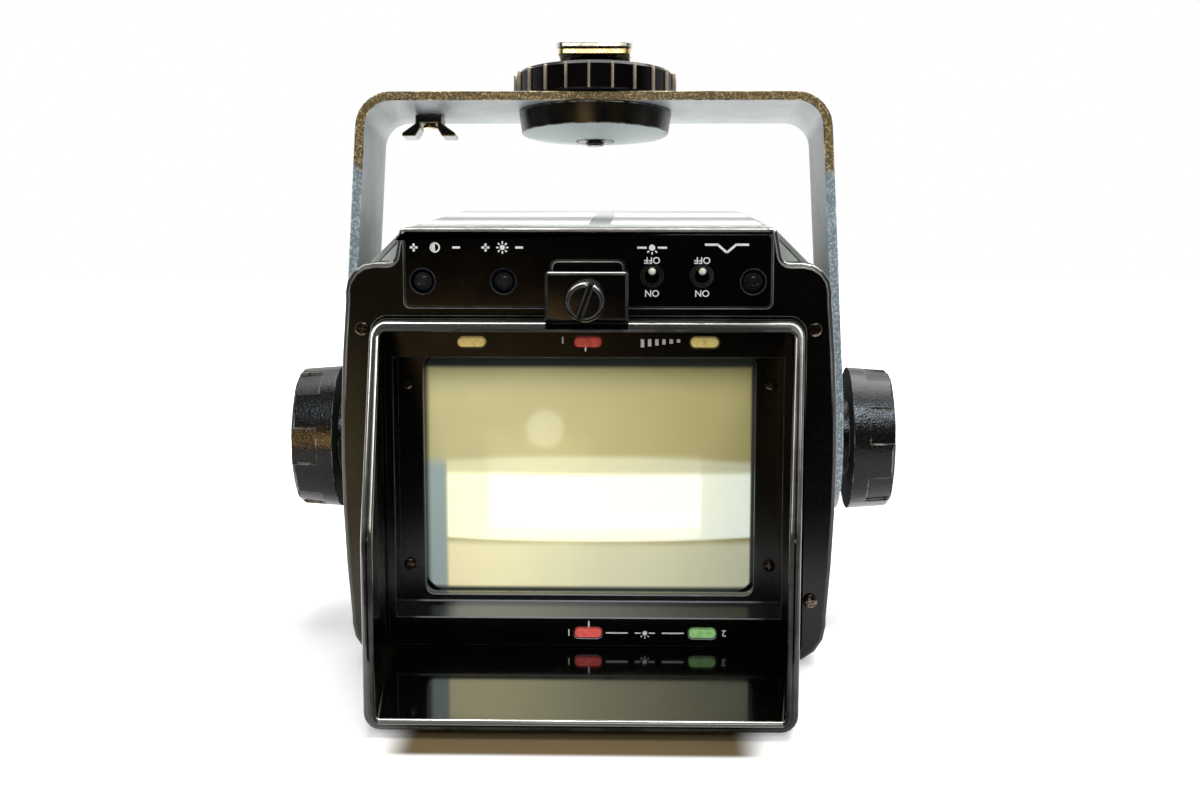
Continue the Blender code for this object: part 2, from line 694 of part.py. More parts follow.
def make_cabinet_shell():
    """Folded sheet cover with screw posts, tray rails and pivot holes."""
    outer = shell_outline()
    shape = slab(outer, "Y", SHELL_FRONT, SHELL_REAR)
    hollow = slab(offset(outer, SHELL_WALL), "Y", SHELL_FRONT - CUT_OVERRUN,
                  SHELL_REAR + CUT_OVERRUN)
    shape = cut(shape, hollow)
    wall_face = SHELL_HALF_WIDTH - SHELL_WALL / 2
    for x, z in frame_screw_places():
        side = math.copysign(wall_face, x)
        low_x, high_x = sorted((x - math.copysign(POST_RADIUS, x), side))
        post = box(low_x, high_x, SHELL_FRONT, SHELL_FRONT + POST_DEPTH,
                   z - POST_RADIUS, z + POST_RADIUS)
        bore = cylinder(FRAME_SCREW_SHANK + SEAT_GAP, SHELL_FRONT - CUT_OVERRUN,
                        SHELL_FRONT + POST_DEPTH - LEAST_WALL, SCREW_SIDES, "Y", (x, z))
        shape = cut(join(shape, post), bore)
    for side in (-1, 1):
        low_x, high_x = sorted((side * (wall_face - SHELL_WALL / 2 - RAIL_DEPTH),
                                side * wall_face))
        rail = box(low_x, high_x, TRAY_FRONT, TRAY_REAR, rail_top() - RAIL_THICKNESS, rail_top())
        hole = cylinder(BOSS_NECK_RADIUS + SEAT_GAP, side * SHELL_HALF_WIDTH / 2,
                        side * SHELL_HALF_WIDTH * 2, SMALL_SIDES, "X", (0, PIVOT_HEIGHT))
        shape = cut(join(shape, rail), hole)
    return node("cabinet_shell", shape, material("cover_paint", GREY_PAINT, 0.45))


def make_rear_panel():
    """Flat panel that closes the cabinet behind."""
    front = SHELL_REAR + SEAT_GAP
    back = front + REAR_PANEL_THICKNESS
    shape = slab(shell_outline(), "Y", front, back)
    shape = cut(shape, cylinder(CONNECTOR_RADIUS + SEAT_GAP, front - CUT_OVERRUN,
                                back + CUT_OVERRUN, SMALL_SIDES, "Y", (CONNECTOR_X, CONNECTOR_Z)))
    return node("rear_panel", shape, material("rear_paint", BLACK_PAINT, 0.45))


# Screen surround and lamps

def lamp_outline(x, z, grow=0):
    """A lamp's outline, a short bar with round ends."""
    half = LAMP_LENGTH / 2 + grow
    rise = LAMP_HEIGHT / 2 + grow
    return box_outline(x - half, x + half, z - rise, z + rise, rise - SEAT_GAP / 10)


def lamp_places():
    """Name, centre and colour of each signal lamp."""
    amber = (0.75, 0.55, 0.18)
    red = (0.80, 0.12, 0.10)
    green = (0.30, 0.70, 0.25)
    return [
        ("upper_amber_lens_left", -LAMP_SPACING, UPPER_LAMP_Z, amber),
        ("upper_red_lens", 0, UPPER_LAMP_Z, red),
        ("upper_amber_lens_right", LAMP_SPACING, UPPER_LAMP_Z, amber),
        ("lower_red_lens", 0, LOWER_LAMP_Z, red),
        ("lower_green_lens", LAMP_SPACING, LOWER_LAMP_Z, green),
    ]


def bezel_screw_places():
    """Centres (x, z) of the four screws in the screen surround."""
    return [(side * BEZEL_SCREW_X, z) for side in (-1, 1)
            for z in (BEZEL_SCREW_LOWER_Z, BEZEL_SCREW_UPPER_Z)]


def make_bezel():
    """Moulded surround: a flanged plate with a deep recess for the screen."""
    flange = slab(box_outline(-BEZEL_HALF, BEZEL_HALF, BEZEL_FOOT, BEZEL_TOP, BEZEL_CORNER),
                  "Y", FRONT, FRONT + BEZEL_FLANGE)
    body = slab(box_outline(-BEZEL_REAR_HALF, BEZEL_REAR_HALF, BEZEL_FOOT + BEZEL_STEP,
                            BEZEL_TOP - BEZEL_STEP, BEZEL_CORNER - SEAT_GAP),
                "Y", FRONT + BEZEL_FLANGE / 2, BEZEL_BACK)
    shape = join(flange, body)
    half = BEZEL_REAR_HALF - RECESS_SIDE_WALL
    slope = (RECESS_LEDGE_BACK - RECESS_LEDGE_FRONT) / RECESS_DEPTH
    mouth = RECESS_LEDGE_FRONT - slope * CUT_OVERRUN
    side_profile = [Vector((FRONT - CUT_OVERRUN, mouth)),
                    Vector((RECESS_PLANE, RECESS_LEDGE_BACK)),
                    Vector((RECESS_PLANE, RECESS_TOP)),
                    Vector((FRONT - CUT_OVERRUN, RECESS_TOP))]
    recess = slab(side_profile, "X", -half, half)
    window = slab(box_outline(-WINDOW_HALF_WIDTH, WINDOW_HALF_WIDTH, WINDOW_FOOT,
                              WINDOW_TOP, WINDOW_RADIUS),
                  "Y", RECESS_PLANE - CUT_OVERRUN, BEZEL_BACK + CUT_OVERRUN)
    shape = cut(shape, recess, window)
    for name, x, z, colour in lamp_places():
        shape = cut(shape, slab(lamp_outline(x, z, SEAT_GAP), "Y", FRONT - CUT_OVERRUN,
                                BEZEL_BACK + CUT_OVERRUN))
    for x, z in bezel_screw_places():
        shape = cut(shape, cylinder(SMALL_SCREW_SHANK + SEAT_GAP, RECESS_PLANE - CUT_OVERRUN,
                                    BEZEL_BACK + CUT_OVERRUN, SCREW_SIDES, "Y", (x, z)))
    return node("screen_bezel", shape, material("bezel_plastic", GLOSS_BLACK, 0.3))


def make_lamps():
    """Lamp lenses, each a clear coloured bar through the bezel."""
    for name, x, z, colour in lamp_places():
        shape = slab(lamp_outline(x, z), "Y", FRONT - LAMP_PROUD, BEZEL_BACK,
                     low_edge=LAMP_PROUD / 2)
        node(name, shape, material(name + "_plastic", colour, 0.25))


def make_lamp_boards():
    """Two narrow boards behind the bezel that carry the lamps."""
    front = BEZEL_BACK + SEAT_GAP
    back = front + LAMP_BOARD_THICKNESS
    finish = material("board_green", (0.05, 0.22, 0.10), 0.5)
    for name, z in (("upper_lamp_board", UPPER_LAMP_Z), ("lower_lamp_board", LOWER_LAMP_Z)):
        shape = slab(box_outline(-LAMP_BOARD_HALF_WIDTH, LAMP_BOARD_HALF_WIDTH,
                                 z - LAMP_BOARD_HALF_HEIGHT, z + LAMP_BOARD_HALF_HEIGHT),
                     "Y", front, back)
        node(name, shape, finish)


# Control panel

def panel_outline(inset=0):
    """Outline of the glossy control plate."""
    return box_outline(-PANEL_HALF_WIDTH + inset, PANEL_HALF_WIDTH - inset,
                       PANEL_FOOT + inset, PANEL_TOP - inset, PANEL_RADIUS)


def make_control_panel():
    """Glossy plate with holes for the controls and the hood's lock boss."""
    shape = slab(panel_outline(), "Y", FRONT, FRONT + PANEL_THICKNESS)
    low, high = FRONT - CUT_OVERRUN, FRONT + PANEL_THICKNESS + CUT_OVERRUN
    boss = box_outline(-LOCK_BOSS_HALF - SEAT_GAP, LOCK_BOSS_HALF + SEAT_GAP,
                       LOCK_BOSS_FOOT - SEAT_GAP, LOCK_BOSS_TOP + SEAT_GAP, PANEL_RADIUS)
    shape = cut(shape, slab(boss, "Y", low, high))
    for x, z in pot_places():
        shape = cut(shape, cylinder(WELL_RADIUS, low, high, SMALL_SIDES, "Y", (x, z)))
    for x, z in switch_places():
        shape = cut(shape, cylinder(BUSH_RADIUS + SEAT_GAP, low, high, SMALL_SIDES, "Y", (x, z)))
    return node("control_panel", shape, material("panel_gloss", GLOSS_BLACK, 0.12))


def make_potentiometers():
    """Three square potentiometers behind the frame, each with a bore."""
    front = FRAME_BACK + SEAT_GAP
    back = front + POT_DEPTH
    finish = material("pot_blue", (0.06, 0.12, 0.30), 0.5)
    for name, (x, z) in zip(POT_NAMES, pot_places()):
        body = slab(box_outline(x - POT_HALF_WIDTH, x + POT_HALF_WIDTH, z - POT_HALF_WIDTH,
                                z + POT_HALF_WIDTH), "Y", front, back)
        bore = cylinder(KNOB_SHAFT_RADIUS + SEAT_GAP, front - CUT_OVERRUN, back - LEAST_WALL,
                        SMALL_SIDES, "Y", (x, z))
        node(name + "_potentiometer", cut(body, bore), finish)


def make_knobs():
    """Slotted adjuster knobs with their shafts, each on its own axis."""
    finish = material("adjuster_plastic", (0.035, 0.04, 0.04), 0.5)
    front = FRONT + KNOB_FRONT_SINK
    shaft_end = FRAME_BACK + SEAT_GAP + POT_DEPTH - LEAST_WALL - SEAT_GAP
    for name, (x, z) in zip(POT_NAMES, pot_places()):
        profile = [(0, 0), (KNOB_RADIUS - FRAME_EDGE / 2, 0), (KNOB_RADIUS, FRAME_EDGE / 2),
                   (KNOB_RADIUS, KNOB_LENGTH), (KNOB_SHAFT_RADIUS, KNOB_LENGTH),
                   (KNOB_SHAFT_RADIUS, shaft_end - front), (0, shaft_end - front)]
        shape = turned(profile, SMALL_SIDES, "Y")
        half = KNOB_SLOT_WIDTH / 2
        slot = box(-KNOB_RADIUS * 2, KNOB_RADIUS * 2, -KNOB_SLOT_DEPTH, KNOB_SLOT_DEPTH,
                   -half, half)
        node(name + "_knob", cut(shape, slot), finish, location=(x, front, z))


def make_switches():
    """Two toggle switches: bodies with threaded bushes, and their levers."""
    front = FRAME_BACK + SEAT_GAP
    metal = material("switch_metal", STEEL, 0.35, 0.8)
    for name, (x, z) in zip(SWITCH_NAMES, switch_places()):
        body = slab(box_outline(x - SWITCH_HALF_WIDTH, x + SWITCH_HALF_WIDTH,
                                z - SWITCH_HALF_HEIGHT, z + SWITCH_HALF_HEIGHT),
                    "Y", front, front + POT_DEPTH)
        bush = cylinder(BUSH_RADIUS, FRONT - BUSH_PROUD, front + CUT_OVERRUN, SMALL_SIDES,
                        "Y", (x, z))
        cavity = cylinder(BUSH_BORE, FRONT - BUSH_PROUD - CUT_OVERRUN,
                          FRONT - BUSH_PROUD + BUSH_CAVITY_DEPTH, SMALL_SIDES, "Y", (x, z))
        node(name + "_switch_body", cut(join(body, bush), cavity), metal)
    finish = material("lever_white", (0.85, 0.85, 0.82), 0.35)
    for name, (x, z) in zip(SWITCH_NAMES, switch_places()):
        stride = math.pi / LEVER_HALF_TURN_STEPS
        ball = [(LEVER_BALL_RADIUS * math.sin(stride * step),
                 LEVER_BALL_RADIUS * math.cos(stride * step))
                for step in range(1, LEVER_HALF_TURN_STEPS - 1)]
        tip = [(LEVER_ROOT_RADIUS, -LEVER_BALL_RADIUS),
               (LEVER_TIP_RADIUS, -LEVER_LENGTH + LEVER_TIP_RADIUS)]
        cap = [(LEVER_TIP_RADIUS * math.cos(stride * step),
                -LEVER_LENGTH + LEVER_TIP_RADIUS * (1 - math.sin(stride * step)))
               for step in range(1, LEVER_HALF_TURN_STEPS // 2)]
        profile = [(0, LEVER_BALL_RADIUS)] + ball + tip + cap + [(0, -LEVER_LENGTH)]
        shape = spun(turned(profile, SCREW_SIDES, "Y"), -LEVER_REST_ANGLE, "X", (0, 0, 0))
        node(name + "_switch_lever", shape, finish, location=(x, FRONT + LEVER_PIVOT_SINK, z))


def make_control_board():
    """Board behind the potentiometers and switches."""
    front = FRAME_BACK + SEAT_GAP + POT_DEPTH + SEAT_GAP
    shape = slab(box_outline(-PANEL_HALF_WIDTH, PANEL_HALF_WIDTH,
                             CONTROL_Z - CONTROL_BOARD_HALF_HEIGHT,
                             CONTROL_Z + CONTROL_BOARD_HALF_HEIGHT),
                 "Y", front, front + CONTROL_BOARD_THICKNESS)
    return node("control_board", shape, material("control_board_green", (0.05, 0.22, 0.10), 0.5))


# Hood

def make_hood():
    """Tapered hood whose side walls slope back from the lower front edge."""
    rear = FRONT + HOOD_SEAT
    front = FRONT - HOOD_DEPTH
    taper = (HOOD_BASE_HALF - HOOD_FRONT_HALF) / HOOD_DEPTH
    rear_half = HOOD_BASE_HALF
    neck = FRONT - SEAT_GAP

    def layers(inset, overrun):
        ahead = front - overrun
        places = [(rear + overrun, rear_half), (neck, rear_half),
                  (ahead, HOOD_FRONT_HALF - taper * overrun)]
        return [[to_space(p, "Y", y) for p in hood_section(half, inset)] for y, half in places]

    shape = cut(loft(layers(0, 0)), loft(layers(HOOD_WALL, CUT_OVERRUN)))
    top_front = FRONT - HOOD_TOP_DEPTH
    beyond = front - HOOD_DEPTH
    above = HOOD_TOP + HOOD_DEPTH
    slope = (top_front - front) / (HOOD_TOP - HOOD_BEND_Z)
    profile = rounded([(front, HOOD_BEND_Z, HOOD_BEND_RADIUS),
                       (top_front + slope * HOOD_DEPTH, above, 0),
                       (beyond, above, 0),
                       (beyond, HOOD_FOOT - HOOD_DEPTH, 0),
                       (front, HOOD_FOOT - HOOD_DEPTH, 0)], steps=8)
    shape = cut(shape, slab(profile, "X", -HOOD_BASE_HALF * 2, HOOD_BASE_HALF * 2))
    return node("hood_shell", shape, material("hood_gloss", GLOSS_BLACK, 0.15))


def tab_front():
    """Front face of the lock tab."""
    return FRONT - TAB_STAND_OFF - TAB_DEPTH


def make_hood_tab():
    """Block on the hood's upper wall that the thumbscrew passes through."""
    outline = rounded([(-TAB_HALF_WIDTH, HOOD_TOP + SEAT_GAP, 0),
                       (TAB_HALF_WIDTH, HOOD_TOP + SEAT_GAP, 0),
                       (TAB_HALF_WIDTH, TAB_TOP, TAB_EDGE),
                       (-TAB_HALF_WIDTH, TAB_TOP, TAB_EDGE)], steps=3)
    shape = slab(outline, "Y", tab_front(), FRONT - TAB_STAND_OFF, low_edge=TAB_EDGE / 2)
    bore = cylinder(THUMB_SHANK_RADIUS + SEAT_GAP, tab_front() - CUT_OVERRUN,
                    FRONT - TAB_STAND_OFF + CUT_OVERRUN, SMALL_SIDES, "Y", (0, THUMB_Z))
    return node("hood_lock_tab", cut(shape, bore), material("tab_black", GLOSS_BLACK, 0.25))


def make_thumbscrew():
    """Captive black thumbscrew with a coin slot."""
    head_end = THUMB_HEAD_LENGTH
    dome = THUMB_HEAD_RADIUS / 3
    profile = [(0, 0)]
    for step in range(1, THUMB_DOME_STEPS + 1):
        angle = math.pi / 2 * step / THUMB_DOME_STEPS
        profile.append((THUMB_HEAD_RADIUS - dome + dome * math.sin(angle),
                        dome * (1 - math.cos(angle))))
    shank_end = FRONT + THUMB_REACH - tab_front() + head_end + THUMB_NECK_LENGTH
    neck_end = head_end + THUMB_NECK_LENGTH - SEAT_GAP
    profile += [(THUMB_HEAD_RADIUS, head_end - dome / 2),
                (THUMB_HEAD_RADIUS - dome / 2, head_end),
                (THUMB_NECK_RADIUS, head_end), (THUMB_NECK_RADIUS, neck_end),
                (THUMB_SHANK_RADIUS, neck_end), (THUMB_SHANK_RADIUS, shank_end), (0, shank_end)]
    shape = turned(profile, ROUND_SIDES, "Y")
    half = THUMB_SLOT_WIDTH / 2
    slot = box(-THUMB_HEAD_RADIUS * 2, THUMB_HEAD_RADIUS * 2, -THUMB_SLOT_DEPTH,
               THUMB_SLOT_DEPTH, -half, half)
    shape = cut(shape, spun(slot, THUMB_SLOT_ANGLE, "Y", (0, 0, 0)))
    place = (0, tab_front() - head_end - THUMB_NECK_LENGTH, THUMB_Z)
    return node("hood_thumbscrew", shape, material("thumb_black", GLOSS_BLACK, 0.25),
                location=place)


# Yoke and pivots, in the yoke's own frame with the tilt axis at its origin

def yoke_section():
    """Outline of the bent strip, seen from the front."""
    bar_top = YOKE_BAR_HEIGHT + YOKE_THICKNESS
    foot = -YOKE_STRIP_HALF
    inner_corner = YOKE_CORNER - YOKE_THICKNESS
    outer = [(YOKE_HALF_AT_PIVOT, foot, 0), (YOKE_HALF_AT_PIVOT, YOKE_PAD_HEIGHT, 0),
             (YOKE_HALF_AT_TOP, bar_top, YOKE_CORNER)]
    inner = [(YOKE_HALF_AT_PIVOT - YOKE_THICKNESS, foot, 0),
             (YOKE_HALF_AT_PIVOT - YOKE_THICKNESS, YOKE_PAD_HEIGHT, 0),
             (YOKE_HALF_AT_TOP - YOKE_THICKNESS, YOKE_BAR_HEIGHT, inner_corner)]
    left_outer = [(-x, z, r) for x, z, r in reversed(outer)]
    right_inner = list(reversed(inner))
    left_inner = [(-x, z, r) for x, z, r in inner]
    return rounded(outer + left_outer + left_inner + right_inner, steps=7)


def make_yoke(parent):
    """Bent steel strip with round ends, pivot holes and a swivel hole."""
    shape = slab(yoke_section(), "Y", -YOKE_STRIP_HALF, YOKE_STRIP_HALF)
    side = rounded([(-YOKE_STRIP_HALF, -YOKE_STRIP_HALF, YOKE_STRIP_HALF - SEAT_GAP),
                    (YOKE_STRIP_HALF, -YOKE_STRIP_HALF, YOKE_STRIP_HALF - SEAT_GAP),
                    (YOKE_STRIP_HALF, YOKE_BAR_HEIGHT * 2, 0),
                    (-YOKE_STRIP_HALF, YOKE_BAR_HEIGHT * 2, 0)], steps=10)
    reach = YOKE_HALF_AT_PIVOT * 2
    shape = boolean(shape, slab(side, "X", -reach, reach), "INTERSECT")
    for x_side in (-1, 1):
        shape = cut(shape, cylinder(STUD_RADIUS + SEAT_GAP, x_side * YOKE_HALF_AT_PIVOT / 2,
                                    x_side * reach, SMALL_SIDES, "X"))
    shape = cut(shape, cylinder(STEM_RADIUS + SEAT_GAP, YOKE_BAR_HEIGHT - CUT_OVERRUN,
                                YOKE_BAR_HEIGHT + YOKE_THICKNESS + CUT_OVERRUN, SMALL_SIDES))
    shape = cut(shape, cylinder(CLIP_RIVET_RADIUS + SEAT_GAP, YOKE_BAR_HEIGHT - CUT_OVERRUN,
                                YOKE_BAR_HEIGHT + YOKE_THICKNESS + CUT_OVERRUN, SCREW_SIDES,
                                "Z", (CLIP_X, CLIP_Y)))
    return node("yoke_bracket", shape, material("yoke_paint", (0.16, 0.17, 0.18), 0.45, 0.3),
                parent)


def make_pivot_hardware(parent):
    """Threaded bosses in the cover, friction washers, studs and tilt knobs."""
    arm_inner = YOKE_HALF_AT_PIVOT - YOKE_THICKNESS
    washer_outer = arm_inner - SEAT_GAP
    boss_end = washer_outer - WASHER_THICKNESS - SEAT_GAP
    boss_start = SHELL_HALF_WIDTH + SEAT_GAP
    neck_start = SHELL_HALF_WIDTH - SHELL_WALL - POST_RADIUS
    stud_start = neck_start + SEAT_GAP
    stud_end = TILT_KNOB_END - TILT_KNOB_CHAMFER - LEAST_WALL
    bore = STUD_RADIUS + SEAT_GAP
    brass = material("boss_brass", (0.60, 0.45, 0.20), 0.35, 1.0)
    fibre = material("washer_fibre", (0.28, 0.16, 0.09), 0.7)
    steel = material("stud_steel", STEEL, 0.3, 1.0)
    for name, side, turned_by in (("left", -1, LEFT_KNOB_TURN), ("right", 1, RIGHT_KNOB_TURN)):
        profile = [(bore, side * neck_start), (BOSS_NECK_RADIUS, side * neck_start),
                   (BOSS_NECK_RADIUS, side * boss_start), (BOSS_RADIUS, side * boss_start),
                   (BOSS_RADIUS, side * boss_end), (bore, side * boss_end)]
        boss = turned(profile, ROUND_SIDES, "X", (0, PIVOT_HEIGHT), closed=True)
        node("pivot_boss_" + name, boss, brass)
        ring = [(bore, side * (washer_outer - WASHER_THICKNESS)),
                (WASHER_RADIUS, side * (washer_outer - WASHER_THICKNESS)),
                (WASHER_RADIUS, side * washer_outer), (bore, side * washer_outer)]
        washer = turned(ring, ROUND_SIDES, "X", closed=True)
        node("friction_washer_" + name, washer, fibre, parent)
        turn = carrier("tilt_knob_axis_" + name, (0, 0, PIVOT_HEIGHT))
        make_tilt_knob("tilt_knob_" + name, side, turned_by, turn, stud_end)
        stud = cylinder(STUD_RADIUS, side * stud_start, side * stud_end, SMALL_SIDES, "X")
        node("tilt_stud_" + name, stud, steel, turn)


def make_tilt_knob(name, side, turned_by, parent, stud_end):
    """Round clamp knob, drawn in towards its end, with six shallow grip pockets and a bored hub."""
    start = YOKE_HALF_AT_PIVOT + SEAT_GAP
    body_start = start + TILT_KNOB_HUB_LENGTH
    bore = STUD_RADIUS + SEAT_GAP
    shoulder = TILT_KNOB_END - TILT_KNOB_CHAMFER
    narrow = TILT_KNOB_RADIUS - TILT_KNOB_TAPER
    profile = [(0, start), (TILT_KNOB_HUB_RADIUS, start), (TILT_KNOB_HUB_RADIUS, body_start),
               (TILT_KNOB_RADIUS, body_start), (narrow, shoulder),
               (narrow - TILT_KNOB_CHAMFER, TILT_KNOB_END), (0, TILT_KNOB_END)]
    shape = turned([(radius, side * x) for radius, x in profile], ROUND_SIDES, "X")
    for index in range(TILT_KNOB_POCKETS):
        middle = turned_by + 2 * math.pi * index / TILT_KNOB_POCKETS
        clear = circle_arc(TILT_KNOB_RADIUS + CUT_OVERRUN, middle)
        rings = []
        for radius, x in ((TILT_KNOB_RADIUS, TILT_KNOB_POCKET_START),
                          (narrow, TILT_KNOB_END + CUT_OVERRUN)):
            floor = circle_arc(radius - TILT_KNOB_POCKET_DEPTH, middle)
            rings.append([to_space(p, "X", side * x) for p in floor + list(reversed(clear))])
        shape = cut(shape, loft(rings))
    hole = cylinder(bore, side * (start - CUT_OVERRUN), side * (stud_end + SEAT_GAP),
                    SMALL_SIDES, "X")
    finish = material(name + "_crinkle", (0.03, 0.03, 0.03), 0.6)
    return node(name, cut(shape, hole), finish, parent)


def circle_arc(radius, middle):
    """Points of a grip pocket's arc, anticlockwise."""
    start = middle - TILT_KNOB_POCKET_ANGLE / 2
    stride = TILT_KNOB_POCKET_ANGLE / TILT_KNOB_POCKET_STEPS
    return [Vector((radius * math.cos(start + stride * step),
                    radius * math.sin(start + stride * step)))
            for step in range(TILT_KNOB_POCKET_STEPS + 1)]


# Swivel and camera shoe, on the yoke's bar

def make_swivel(parent):
    """Fixed flange under the bar, with its shallow cone."""
    top = YOKE_BAR_HEIGHT - SEAT_GAP
    side_end = top - FLANGE_HEIGHT
    bore = STEM_RADIUS + SEAT_GAP
    profile = [(bore, top), (FLANGE_RADIUS, top), (FLANGE_RADIUS - FLANGE_TAPER, side_end),
               (bore, side_end - FLANGE_CONE)]
    shape = turned(profile, ROUND_SIDES, "Z", closed=True)
    return node("swivel_flange", shape, material("flange_grey", (0.30, 0.31, 0.32), 0.35, 0.4),
                parent)


def make_clip(parent):
    """Black cable clip under the bar, with two flared legs, and its rivet."""
    top = YOKE_BAR_HEIGHT - SEAT_GAP
    neck = top - CLIP_DROP * CLIP_NECK_SHARE
    foot = top - CLIP_DROP
    inside = CLIP_HALF_BODY - CLIP_LEG
    toe = foot + CLIP_LEG * 2 / 3
    right = [(CLIP_HALF_FOOT, foot), (CLIP_HALF_FOOT, toe),
             (CLIP_HALF_BODY, neck + CLIP_LEG), (CLIP_HALF_BODY, top)]
    inner = [(inside, top - CLIP_BACK), (inside, neck), (CLIP_HALF_BODY, foot)]
    outline = right + [(-u, v) for u, v in reversed(right)]
    outline += [(-u, v) for u, v in reversed(inner)] + inner
    points = [Vector((CLIP_X + u, v)) for u, v in outline]
    shape = slab(points, "Y", CLIP_Y - CLIP_HALF_LENGTH, CLIP_Y + CLIP_HALF_LENGTH)
    bore = cylinder(CLIP_RIVET_RADIUS + SEAT_GAP, top - CLIP_DROP, top + CUT_OVERRUN,
                    SCREW_SIDES, "Z", (CLIP_X, CLIP_Y))
    node("cable_clip", cut(shape, bore), material("clip_black", GLOSS_BLACK, 0.4), parent)
    head_low = top - CLIP_BACK - SEAT_GAP
    bar_top = YOKE_BAR_HEIGHT + YOKE_THICKNESS
    profile = [(0, head_low - CLIP_RIVET_HEAD_HEIGHT),
               (CLIP_RIVET_HEAD, head_low - CLIP_RIVET_HEAD_HEIGHT),
               (CLIP_RIVET_HEAD, head_low), (CLIP_RIVET_RADIUS, head_low),
               (CLIP_RIVET_RADIUS, bar_top + SEAT_GAP), (CLIP_RIVET_HEAD, bar_top + SEAT_GAP),
               (CLIP_RIVET_HEAD, bar_top + SEAT_GAP + CLIP_RIVET_HEAD_HEIGHT),
               (0, bar_top + SEAT_GAP + CLIP_RIVET_HEAD_HEIGHT)]
    rivet = turned(profile, SCREW_SIDES, "Z", (CLIP_X, CLIP_Y))
    node("clip_rivet", rivet, material("rivet_brass", (0.55, 0.42, 0.22), 0.35, 1.0), parent)


def make_shoe(parent):
    """Camera shoe: steel plate, brass band, stem and the centre screw."""
    brass_high = BRASS_FOOT + BRASS_THICKNESS
    stem_low = YOKE_BAR_HEIGHT - SEAT_GAP - FLANGE_HEIGHT - FLANGE_CONE
    outline = box_outline(-SHOE_HALF_WIDTH, SHOE_HALF_WIDTH, -SHOE_HALF_LENGTH,
                          SHOE_HALF_LENGTH, SHOE_CORNER, steps=3)
    plate = slab(outline, "Z", SHOE_PLATE_FOOT, SHOE_TOP_HEIGHT,
                 high_edge=SHOE_PLATE_THICKNESS / 4)
    stem = cylinder(STEM_RADIUS, stem_low, SHOE_PLATE_FOOT + SHOE_PLATE_THICKNESS / 2,
                    SMALL_SIDES)
    thread = cylinder(CENTRE_SCREW_SHANK + SEAT_GAP, stem_low - CUT_OVERRUN,
                      stem_low + CENTRE_SCREW_REACH + CUT_OVERRUN, SCREW_SIDES)
    node("shoe_plate", cut(join(plate, stem), thread),
         material("shoe_steel", STEEL, 0.3, 1.0), parent)
    band = slab(offset(outline, BRASS_INSET), "Z", BRASS_FOOT, brass_high)
    hole = cylinder(STEM_RADIUS + SEAT_GAP, BRASS_FOOT - CUT_OVERRUN, brass_high + CUT_OVERRUN,
                    SMALL_SIDES)
    node("shoe_brass_pad", cut(band, hole), material("pad_brass", (0.65, 0.48, 0.20), 0.3, 1.0),
         parent)
    head_high = stem_low - SEAT_GAP
    profile = [(0, head_high - CENTRE_SCREW_HEAD),
               (CENTRE_SCREW_RADIUS * 3 / 4, head_high - CENTRE_SCREW_HEAD),
               (CENTRE_SCREW_RADIUS, head_high - CENTRE_SCREW_HEAD / 2),
               (CENTRE_SCREW_RADIUS, head_high), (CENTRE_SCREW_SHANK, head_high),
               (CENTRE_SCREW_SHANK, stem_low + CENTRE_SCREW_REACH),
               (0, stem_low + CENTRE_SCREW_REACH)]
    node("swivel_centre_screw", turned(profile, SMALL_SIDES, "Z"),
         material("centre_screw_black", GLOSS_BLACK, 0.35), parent)


def make_lock_wheel(parent):
    """Ribbed wheel that clamps the shoe, with a raised collar under it."""
    high = WHEEL_FOOT + WHEEL_HEIGHT
    outline = []
    count = WHEEL_RIBS * WHEEL_RIB_STEPS
    for index, point in enumerate(circle(WHEEL_RADIUS, count)):
        groove = WHEEL_GROOVE if index % WHEEL_RIB_STEPS == 0 else 0
        outline.append(point * (1 - groove / WHEEL_RADIUS))
    shape = slab(outline, "Z", WHEEL_FOOT, high, high_edge=WHEEL_EDGE)
    collar = cylinder(SHOE_HALF_WIDTH - BRASS_INSET, high - CUT_OVERRUN, high + WHEEL_COLLAR,
                      SMALL_SIDES)
    hole = cylinder(STEM_RADIUS + SEAT_GAP, WHEEL_FOOT - CUT_OVERRUN, BRASS_FOOT + CUT_OVERRUN,
                    SMALL_SIDES)
    return node("lock_wheel", cut(join(shape, collar), hole),
                material("wheel_black", GLOSS_BLACK, 0.3), parent)


# Picture tube and electronics

def tube_section(half_width, half_height, corner, y):
    """Ring of the tube at a depth; a full corner radius makes it round."""
    limit = min(half_width, half_height) - SEAT_GAP / 10
    outline = box_outline(-half_width, half_width, TUBE_Z - half_height, TUBE_Z + half_height,
                          min(corner, limit))
    return [to_space(point, "Y", y) for point in outline]


def tube_sag(half_width, half_height):
    """How far the domed face lies behind its middle at a ring's edge."""
    reach = (half_width + half_height) / 2
    return TUBE_FACE_RADIUS - math.sqrt(TUBE_FACE_RADIUS ** 2 - reach ** 2)


def tube_places():
    """Depths of the face's middle, the skirt's end, the neck's start and its end."""
    face = FRONT + TUBE_FACE_SINK
    skirt = face + tube_sag(TUBE_HALF_WIDTH, TUBE_HALF_HEIGHT) + TUBE_SKIRT
    return face, skirt, skirt + TUBE_FUNNEL, face + TUBE_LENGTH


